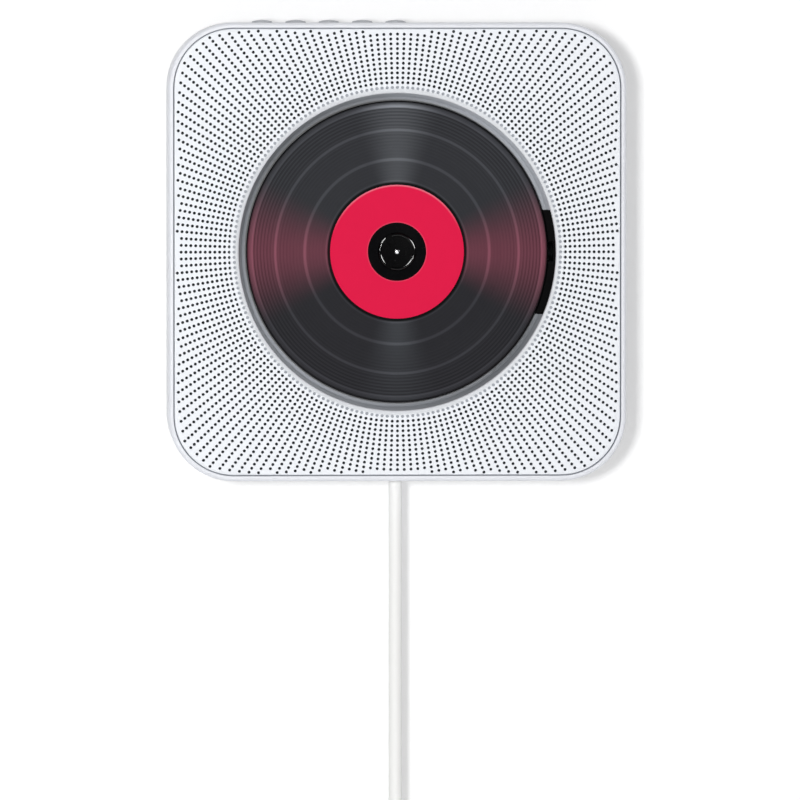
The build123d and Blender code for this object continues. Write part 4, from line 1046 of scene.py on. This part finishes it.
# ---- pull cord
@dataclass(frozen=True)
class PullCord:
    """The round cord that hangs from the switch, the coil of its far end and its plug.

    Places and sizes are in millimetres and the coil's start in degrees.
    """

    diameter: float = 5.4
    real_length: float = 1440.0
    leaves_at: float = -91.0
    back_h: float = 22.0
    front_h: float = 27.6
    run: tuple[Flat, ...] = ((0.0, -81.0), (0.0, -207.3), (0.0, -231.1), (11.9, -251.7))
    coil_z: float = -291.6
    coil_small: float = 22.0
    coil_large: float = 40.5
    coil_pitch: float = 6.0
    coil_start: float = 60.0
    steps_a_turn: int = 24
    cross_steps: int = 8
    tail_low: float = -316.0
    bevel_steps: int = 6
    curve_steps: int = 4

    def coil_points(self) -> list[Point]:
        """Winds the coil: inwards in the rear layer, then outwards in the front layer.

        Returns:
            Its control points.
        """
        turns_in = (self.coil_large - self.coil_small) / self.coil_pitch
        steps_in = round(turns_in * self.steps_a_turn)
        points = []
        for step in range(1, 2 * steps_in + 1):
            angle = radians(self.coil_start - 360.0 * step / self.steps_a_turn)
            inwards = 1 - abs(step - steps_in) / steps_in
            radius = self.coil_large - (self.coil_large - self.coil_small) * inwards
            rise = clamped((step - steps_in) / self.cross_steps + 0.5)
            h = self.back_h + (self.front_h - self.back_h) * rise
            points.append(spot(radius * cos(angle), self.coil_z + radius * sin(angle), h))
        return points

    def points(self) -> list[Point]:
        """All the cord's control points, from the switch to the plug."""
        hanging = [spot(x, z, self.back_h) for x, z in self.run]
        return [*hanging, *self.coil_points(), spot(self.coil_large, self.tail_low, self.front_h)]

    def build(self, finish: Material) -> Object:
        """Makes the cord.

        Args:
            finish: The sleeve's material.

        Returns:
            The cord's curve.
        """
        data = bpy.data.curves.new("cord_line", "CURVE")
        data.dimensions = "3D"
        data.bevel_depth = self.diameter / 2 * MM
        data.bevel_resolution = self.bevel_steps
        data.resolution_u = self.curve_steps
        data.use_fill_caps = True
        line = data.splines.new("NURBS")
        points = self.points()
        line.points.add(len(points) - 1)
        for point, place in zip(line.points, points):
            point.co = (*place, 1.0)
        line.order_u = 3
        line.use_endpoint_u = True
        data.materials.append(finish)
        made = placed("cord_line", data)
        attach(made, Body.PULL.value)
        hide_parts("cord", "cord_coil")
        spot(0.0, self.leaves_at, self.back_h)
        return made


# ---- front panel
@dataclass(frozen=True)
class FrontPanel:
    """The flat front with its round mouth and rings of small holes on two hundred rays, in millimetres."""

    half: float = 88.5
    corner: float = 23.5
    mouth: float = 63.0
    front: float = 43.1
    back: float = 41.1
    edge_round: float = 0.25
    mouth_round: float = 0.6
    foot: float = 0.45
    foot_drop: float = 1.9
    corner_steps: int = 20
    round_steps: int = 4
    mouth_sides: int = 240
    rays: int = 200
    first_ring: float = 65.3
    ring_step: float = 1.922
    hole: float = 0.63
    hole_sides: int = 9
    squeeze: float = 0.9932
    blind_depth: float = 1.0
    seam_shade_finish: int = 1
    dimple_finish: int = 2
    reach_across: float = 87.4
    reach_up: float = 87.62
    reach_corner: float = 22.65
    corner_centre: float = 65.0
    merge_within: float = 1e-9

    def hole_centres(self) -> list[list[Flat]]:
        """Sets out the holes, as far as the panel's edge leaves room.

        Returns:
            Their centres, ring by ring.
        """
        ring_count = ceil((self.reach_up * sqrt(2) - self.first_ring) / self.ring_step)
        rings: list[list[Flat]] = []
        for number in range(ring_count):
            radius = self.first_ring + self.ring_step * number
            turns = (FULL_TURN * ray / self.rays for ray in range(self.rays))
            places = [(radius * cos(angle) * self.squeeze, radius * sin(angle)) for angle in turns]
            rings.append([place for place in places if self.has_room(*place)])
        return rings

    def has_room(self, x: float, z: float) -> bool:
        """Tells whether the flat has room for a hole.

        Args:
            x: The hole's place across.
            z: Its place up.

        Returns:
            True where it has.
        """
        past_x, past_z = abs(x) - self.corner_centre, abs(z) - self.corner_centre
        in_corner = past_x > 0 and past_z > 0
        return (
            abs(x) <= self.reach_across
            and abs(z) <= self.reach_up
            and not (in_corner and hypot(past_x, past_z) > self.reach_corner)
        )

    def outline(self, drawn: float, h: float) -> list[Point]:
        """The panel's outline, drawn in by a distance, at a distance from the wall."""
        return rounded_square(self.half - drawn, self.corner - drawn, h, self.corner_steps)

    def hole_rim(self, centre: Flat, h: float) -> list[Point]:
        """One hole's corners at a distance from the wall."""
        return circle(self.hole, h, self.hole_sides, centre, atan2(centre[1], centre[0]))

    def edge_steps(self, size: float) -> list[Flat]:
        """How far a quarter round edge of a radius is drawn in and down, below its top and on to its foot."""
        turns = [pi / 2 * n / self.round_steps for n in range(1, self.round_steps + 1)]
        return [(size * (1 - sin(a)), size * (1 - cos(a))) for a in turns]

    def build(self, finishes: Sequence[Material]) -> Object:
        """Makes the panel.

        Args:
            finishes: The materials of its plastic, of the painted shade on the seam's floor round it and of
                the blind holes' floors.

        Returns:
            The panel.
        """
        blind, *through = self.hole_centres()
        open_holes = [centre for ring in through for centre in ring]
        shape = Shape()
        front = [
            shape.loop(self.outline(self.edge_round, self.front)),
            shape.loop(circle(self.mouth + self.mouth_round, self.front, self.mouth_sides)),
        ]
        back = [
            shape.loop(self.outline(-self.foot, self.back)),
            shape.loop(circle(self.mouth, self.back, self.mouth_sides)),
        ]
        for centre in open_holes:
            front.append(shape.loop(self.hole_rim(centre, self.front)))
            back.append(shape.loop(self.hole_rim(centre, self.back)))
            shape.band(front[-1], back[-1])
        self.fill(shape, back)
        for centre in blind:
            front.append(shape.loop(self.hole_rim(centre, self.front)))
            floor = shape.loop(self.hole_rim(centre, self.front - self.blind_depth))
            shape.tube([front[-1], floor], self.dimple_finish, ends=(1,))
        self.fill(shape, front)
        steps = [*self.edge_steps(self.edge_round), (0.0, self.foot_drop), (-self.foot, self.foot_drop)]
        between = [self.outline(drawn, self.front - drop) for drawn, drop in steps]
        # Painted shade: the band on the seam's floor gets the grey seam finish.
        self.close_edge(shape, front[0], back[0], between, seam=len(steps) - 1)
        steps = self.edge_steps(self.mouth_round)
        between = [circle(self.mouth + drawn, self.front - drop, self.mouth_sides) for drawn, drop in steps]
        self.close_edge(shape, front[1], back[1], between)
        return shape.piece("grille_panel", Body.PLAYER, "panel_white", finishes, ["front_panel"])

    def fill(self, shape: Shape, rims: Sequence[Sequence[int]]) -> None:
        """Fills the flat between the first rim and all the others inside it.

        Args:
            shape: The panel's shape.
            rims: The rims' corners: the outline, the mouth and the holes.
        """
        corners = [corner for rim in rims for corner in rim]
        owner = [number for number, rim in enumerate(rims) for _ in rim]
        starts = [0, *accumulate(len(rim) for rim in rims)]
        edges = [
            (start + (n - 1) % len(rim), start + n)
            for start, rim in zip(starts, rims)
            for n in range(len(rim))
        ]
        flat = [Vector((shape.corners[corner][0], shape.corners[corner][2])) for corner in corners]
        for triangle in delaunay_2d_cdt(flat, edges, [], 0, self.merge_within)[2]:
            owners = {owner[corner] for corner in triangle}
            if len(owners) > 1 or owners == {0}:
                shape.face([corners[corner] for corner in triangle])

    def close_edge(
        self,
        shape: Shape,
        front: Sequence[int],
        back: Sequence[int],
        between: Sequence[Sequence[Point]],
        seam: int | None = None,
    ) -> None:
        """Joins a front rim to its back rim over a round.

        Args:
            shape: The panel's shape.
            front: The front rim's corners.
            back: The back rim's corners.
            between: The places of the loops between them.
            seam: Which band has the seam's painted shade, counted from the front.
        """
        loops = [front, *(shape.loop(points) for points in between), back]
        for number, (first, second) in enumerate(zip(loops, loops[1:])):
            shape.band(first, second, self.seam_shade_finish if number == seam else 0)


# ---- disc
@dataclass(frozen=True)
class Record:
    """The disc: clear plastic, a grooved dark print and a red label, in millimetres.

    The mirrored back starts at the side back_from of the clear plastic's section.
    """

    radius: float = 60.0
    bore: float = 7.5
    back: float = 37.2
    front: float = 38.3
    edge_round: float = 0.3
    print_depth: float = 0.1
    print_inner: float = 26.62
    print_outer: float = 59.6
    label_inner: float = 11.6
    label_outer: float = 26.6
    groove_from: float = 41.0
    groove_to: float = 59.0
    groove_pitch: float = 0.65
    groove_depth: float = 0.03
    stack_ring: tuple[float, float] = (16.6, 17.4)
    stack_rise: float = 0.12
    bevel: float = 0.15
    round_share: float = 0.3
    soft: float = 0.04
    soft_in: float = 0.03
    back_from: int = 9
    track_inner: float = 22.5
    track_outer: float = 58.5
    sides: int = 180

    def layer(self, inner: float, outer: float, soft_in: float, between: Sequence[Flat] = ()) -> list[Flat]:
        """Draws the section of a thin layer on the disc's front, with softened edges.

        Args:
            inner: Its inner radius.
            outer: Its outer radius.
            soft_in: How much its inner edge is softened.
            between: Corners of its top between the two edges.

        Returns:
            Radius and distance from the wall of each corner.
        """
        low, high, soft = self.front, self.front + self.print_depth, self.soft
        start = [(inner, low), (inner, high - soft_in), (inner + soft_in, high)]
        return [*start, *between, (outer - soft, high), (outer, high - soft), (outer, low)]

    def grooves(self) -> list[Flat]:
        """Draws the fine grooves in the outer part of the print's top.

        Returns:
            Radius and distance from the wall of each corner.
        """
        top = self.front + self.print_depth
        corners = []
        radius = self.groove_from
        while radius < self.groove_to:
            corners.append((radius, top))
            corners.append((radius + self.groove_pitch * 0.5, top - self.groove_depth))
            radius += self.groove_pitch
        return corners

    def clear_profile(self) -> list[Flat]:
        """Draws the clear disc's section, with a stacking ring on its back.

        Returns:
            Radius and distance from the wall of each corner.
        """
        r, edge, bevel = self.radius, self.edge_round, self.bevel
        low, high = self.back, self.front
        ring_in, ring_out = self.stack_ring
        drawn = edge * self.round_share
        return [
            (self.bore, low + bevel),
            (self.bore, high - bevel),
            (self.bore + bevel, high),
            (self.label_inner, high),
            (self.label_outer, high),
            (r - edge, high),
            (r - drawn, high - drawn),
            (r, high - edge),
            (r, low + edge),
            (r - drawn, low + drawn),
            (r - edge, low),
            (self.track_outer, low),
            (self.track_inner, low),
            (ring_out, low),
            (ring_out - bevel, low - self.stack_rise),
            (ring_in + bevel, low - self.stack_rise),
            (ring_in, low),
            (self.bore + bevel, low),
        ]

    def build(self, finishes: dict[str, Material], data_side: Material) -> list[Object]:
        """Makes the disc's three pieces.

        Args:
            finishes: The materials by slot.
            data_side: The mirrored back's material.

        Returns:
            The pieces.
        """
        dark = self.layer(self.print_inner, self.print_outer, self.soft_in, self.grooves())
        label = self.layer(self.label_inner, self.label_outer, self.soft)
        pieces = []
        for name, slot, stands_for, profile, more in (
            ("disc_plastic", "disc_clear", "disc", self.clear_profile(), [data_side]),
            ("disc_grooves", "disc_print", "disc_face", dark, []),
            ("disc_centre_label", "label_red", "disc_label", label, []),
        ):
            back_from = self.back_from if more else len(profile)
            shape = Shape()
            shape.turned(profile, self.sides, finish_of=lambda number: int(number >= back_from))
            pieces.append(shape.piece(name, Body.DISC, slot, [finishes[slot], *more], [stands_for]))
        return pieces


# ---- return spring
@dataclass(frozen=True)
class ReturnSpring:
    """The wire spring under the pull switch's slider, in millimetres."""

    wire: float = 0.55
    radius: float = 6.6
    low: float = -75.0
    length: float = 14.0
    turns: int = 6
    closed_turns: float = 0.75
    h: float = 22.0
    wire_sides: int = 10
    steps_a_turn: int = 28
    pulled_share: float = 8.0 / 14.0

    def centre_line(self) -> list[Vector]:
        """Winds the wire, with closed turns at both ends.

        Returns:
            Its centres in metres.
        """
        rise = self.length - 2 * self.wire
        count = self.turns * self.steps_a_turn
        closed = self.closed_turns / self.turns
        points = []
        for step in range(count + 1):
            share = step / count
            level = clamped((share - closed) / (1 - 2 * closed)) * (rise - 4 * self.wire)
            level += 2 * self.wire * (clamped(share / closed) + clamped((share - 1 + closed) / closed))
            angle = FULL_TURN * self.turns * share
            z = self.low + self.wire + level
            points.append(Vector(spot(self.radius * cos(angle), z, self.h + self.radius * sin(angle))))
        return points

    def build(self, finish: Material) -> Object:
        """Makes the spring.

        Args:
            finish: Its material.

        Returns:
            The spring.
        """
        shape = Shape()
        line = self.centre_line()
        loops = []
        axis = Vector(spot(0.0, 0.0, self.h))
        for number, centre in enumerate(line):
            ahead = (line[min(number + 1, len(line) - 1)] - line[max(number - 1, 0)]).normalized()
            out = Vector((centre.x - axis.x, centre.y - axis.y, 0.0)).normalized()
            up = ahead.cross(out).normalized()
            turns = (FULL_TURN * n / self.wire_sides for n in range(self.wire_sides))
            rim = [centre + (out * cos(a) + up * sin(a)) * self.wire * MM for a in turns]
            loops.append(shape.loop(tuple(point) for point in rim))
        shape.tube(loops)
        stands_for = ["return_spring"]
        made = shape.piece("coil_spring", Body.PLAYER, "bright_steel", [finish], stands_for, smooth=60.0)
        anchor = spot(0.0, self.low, self.h)
        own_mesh(made)
        return made


# ---- finishes of every slot
@dataclass(frozen=True)
class Finishes:
    """The finish of every slot, and the solids that keep their own shape and carry it."""

    white: Colour = srgb(233, 235, 241)
    panel: Colour = srgb(241, 244, 249)
    buttons: tuple[str, ...] = tuple(f"button_{number}" for number in range(1, 6))
    rods: tuple[str, ...] = ("guide_rod", "side_rod", "spindle_shaft", "motor_shaft")
    drawn: Point = (1500.0, 1500.0, 1500.0)

    def rows(self) -> list[tuple[Finish, Sequence[str]]]:
        """Lists every slot's finish.

        Returns:
            Each finish with the names of the solids that carry it.
        """
        plastic, metal = MouldedPlastic, SheetMetal
        return [
            (plastic("casing_white", self.white, 0.40), ("housing", "rear_cover", "cord_bushing")),
            (PanelPlastic("panel_white", self.panel, 0.45, mottle=0.012), ()),
            # Painted shade: grey for the floor of the seam round the front panel.
            (Rubber("seam_shade_grey", srgb(158, 162, 170), 0.8), ()),
            (Rubber("dimple_grey", srgb(190, 194, 201), 0.8), ()),
            (TrayPlastic("tray_grey", srgb(176, 180, 187), 0.45), ("well_tray",)),
            (plastic("mechanism_black", srgb(5, 5, 6), 0.6, gloss=0.05), ("mechanism_cover",)),
            (plastic("hub_black", srgb(4, 4, 5), 0.10, grain_depth=0.000001, gloss=0.25), POLISHED),
            (Rubber("mat_rubber", srgb(22, 22, 23), 0.75), ("turntable_mat", "damper_grommets")),
            (SpeakerCloth("speaker_cloth", srgb(46, 49, 54)), ("grille_cloth",)),
            (plastic("disc_clear", srgb(6, 6, 8), 0.12, grain_depth=0.000001, gloss=0.12), ()),
            (RecordPrint("disc_print", srgb(50, 51, 55)), ()),
            (LabelPrint("label_red", srgb(231, 22, 72)), ()),
            (plastic("key_grey", srgb(186, 189, 195), 0.4), self.buttons),
            (PowderCoat("bracket_steel", srgb(222, 224, 228)), ("wall_bracket",)),
            (metal("chassis_steel", srgb(188, 191, 196), 0.38), ("chassis",)),
            (
                metal("bright_steel", srgb(206, 207, 209), 0.22, self.drawn),
                ("cover_screws", "damper_screws", *self.rods),
            ),
            (
                metal("motor_steel", srgb(178, 180, 184), 0.3, (400.0, 3000.0, 400.0)),
                ("spindle_motor", "sled_motor"),
            ),
            (plastic("gear_white", srgb(226, 225, 219), 0.38), ("middle_gear", "motor_gear", "sled_rack")),
            (plastic("sled_black", srgb(34, 34, 35), 0.5), ("pickup_sled", "lens_holder")),
            (CoatedGlass("lens_glass", srgb(70, 84, 132)), ("lens",)),
            (
                CircuitBoard("board_green", srgb(20, 84, 46), srgb(202, 174, 110)),
                ("key_board", "main_board", "power_board"),
            ),
            (
                plastic("part_black", srgb(32, 32, 33), 0.5),
                ("tact_switches", "main_board_parts", "capacitors", "microswitch"),
            ),
            (
                metal("core_steel", srgb(96, 97, 100), 0.5, (200.0, 4000.0, 200.0), metallic=0.7),
                ("transformer", "speaker_magnets"),
            ),
            (PowderCoat("speaker_black", srgb(38, 38, 40)), ("speaker_frames",)),
            (Rubber("cone_paper", srgb(52, 51, 50), 0.8, mottle=0.14), ("speaker_cones",)),
            (plastic("guide_white", srgb(232, 232, 227), 0.36), ("pull_slider", "switch_guide")),
            (
                Rubber("cord_white", srgb(250, 250, 248), 0.55, mottle=0.02),
                ("strain_relief", "cord_tie", "plug"),
            ),
            (metal("pin_nickel", srgb(206, 203, 196), 0.25, (1200.0, 1200.0, 60.0)), ("plug_pins",)),
        ]

    def dress(self) -> dict[str, Material]:
        """Builds every slot's material and gives it to the solids that carry it.

        Returns:
            The materials by slot.
        """
        table = {}
        for finish, names in self.rows():
            table[finish.name] = finish.material()
            for name in names:
                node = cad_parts[name]
                node.data.materials.clear()
                node.data.materials.append(table[finish.name])
                log.info("dressed %s in %s", name, finish.name)
        return table


def main() -> None:
    """Builds the studio, then the player's pieces in order."""
    logging.basicConfig(level=logging.INFO, format="%(name)s: %(message)s")
    Studio().build()
    table = Finishes().dress()
    panel = [table[name] for name in ("panel_white", "seam_shade_grey", "dimple_grey")]
    made = [
        PullCord().build(table["cord_white"]),
        FrontPanel().build(panel),
        *Record().build(table, DataSide("disc_data_side").material()),
        ReturnSpring().build(table["bright_steel"]),
    ]
    for piece in made:
        log.info("made %s", piece.name)


if __name__ == "__main__":
    main()
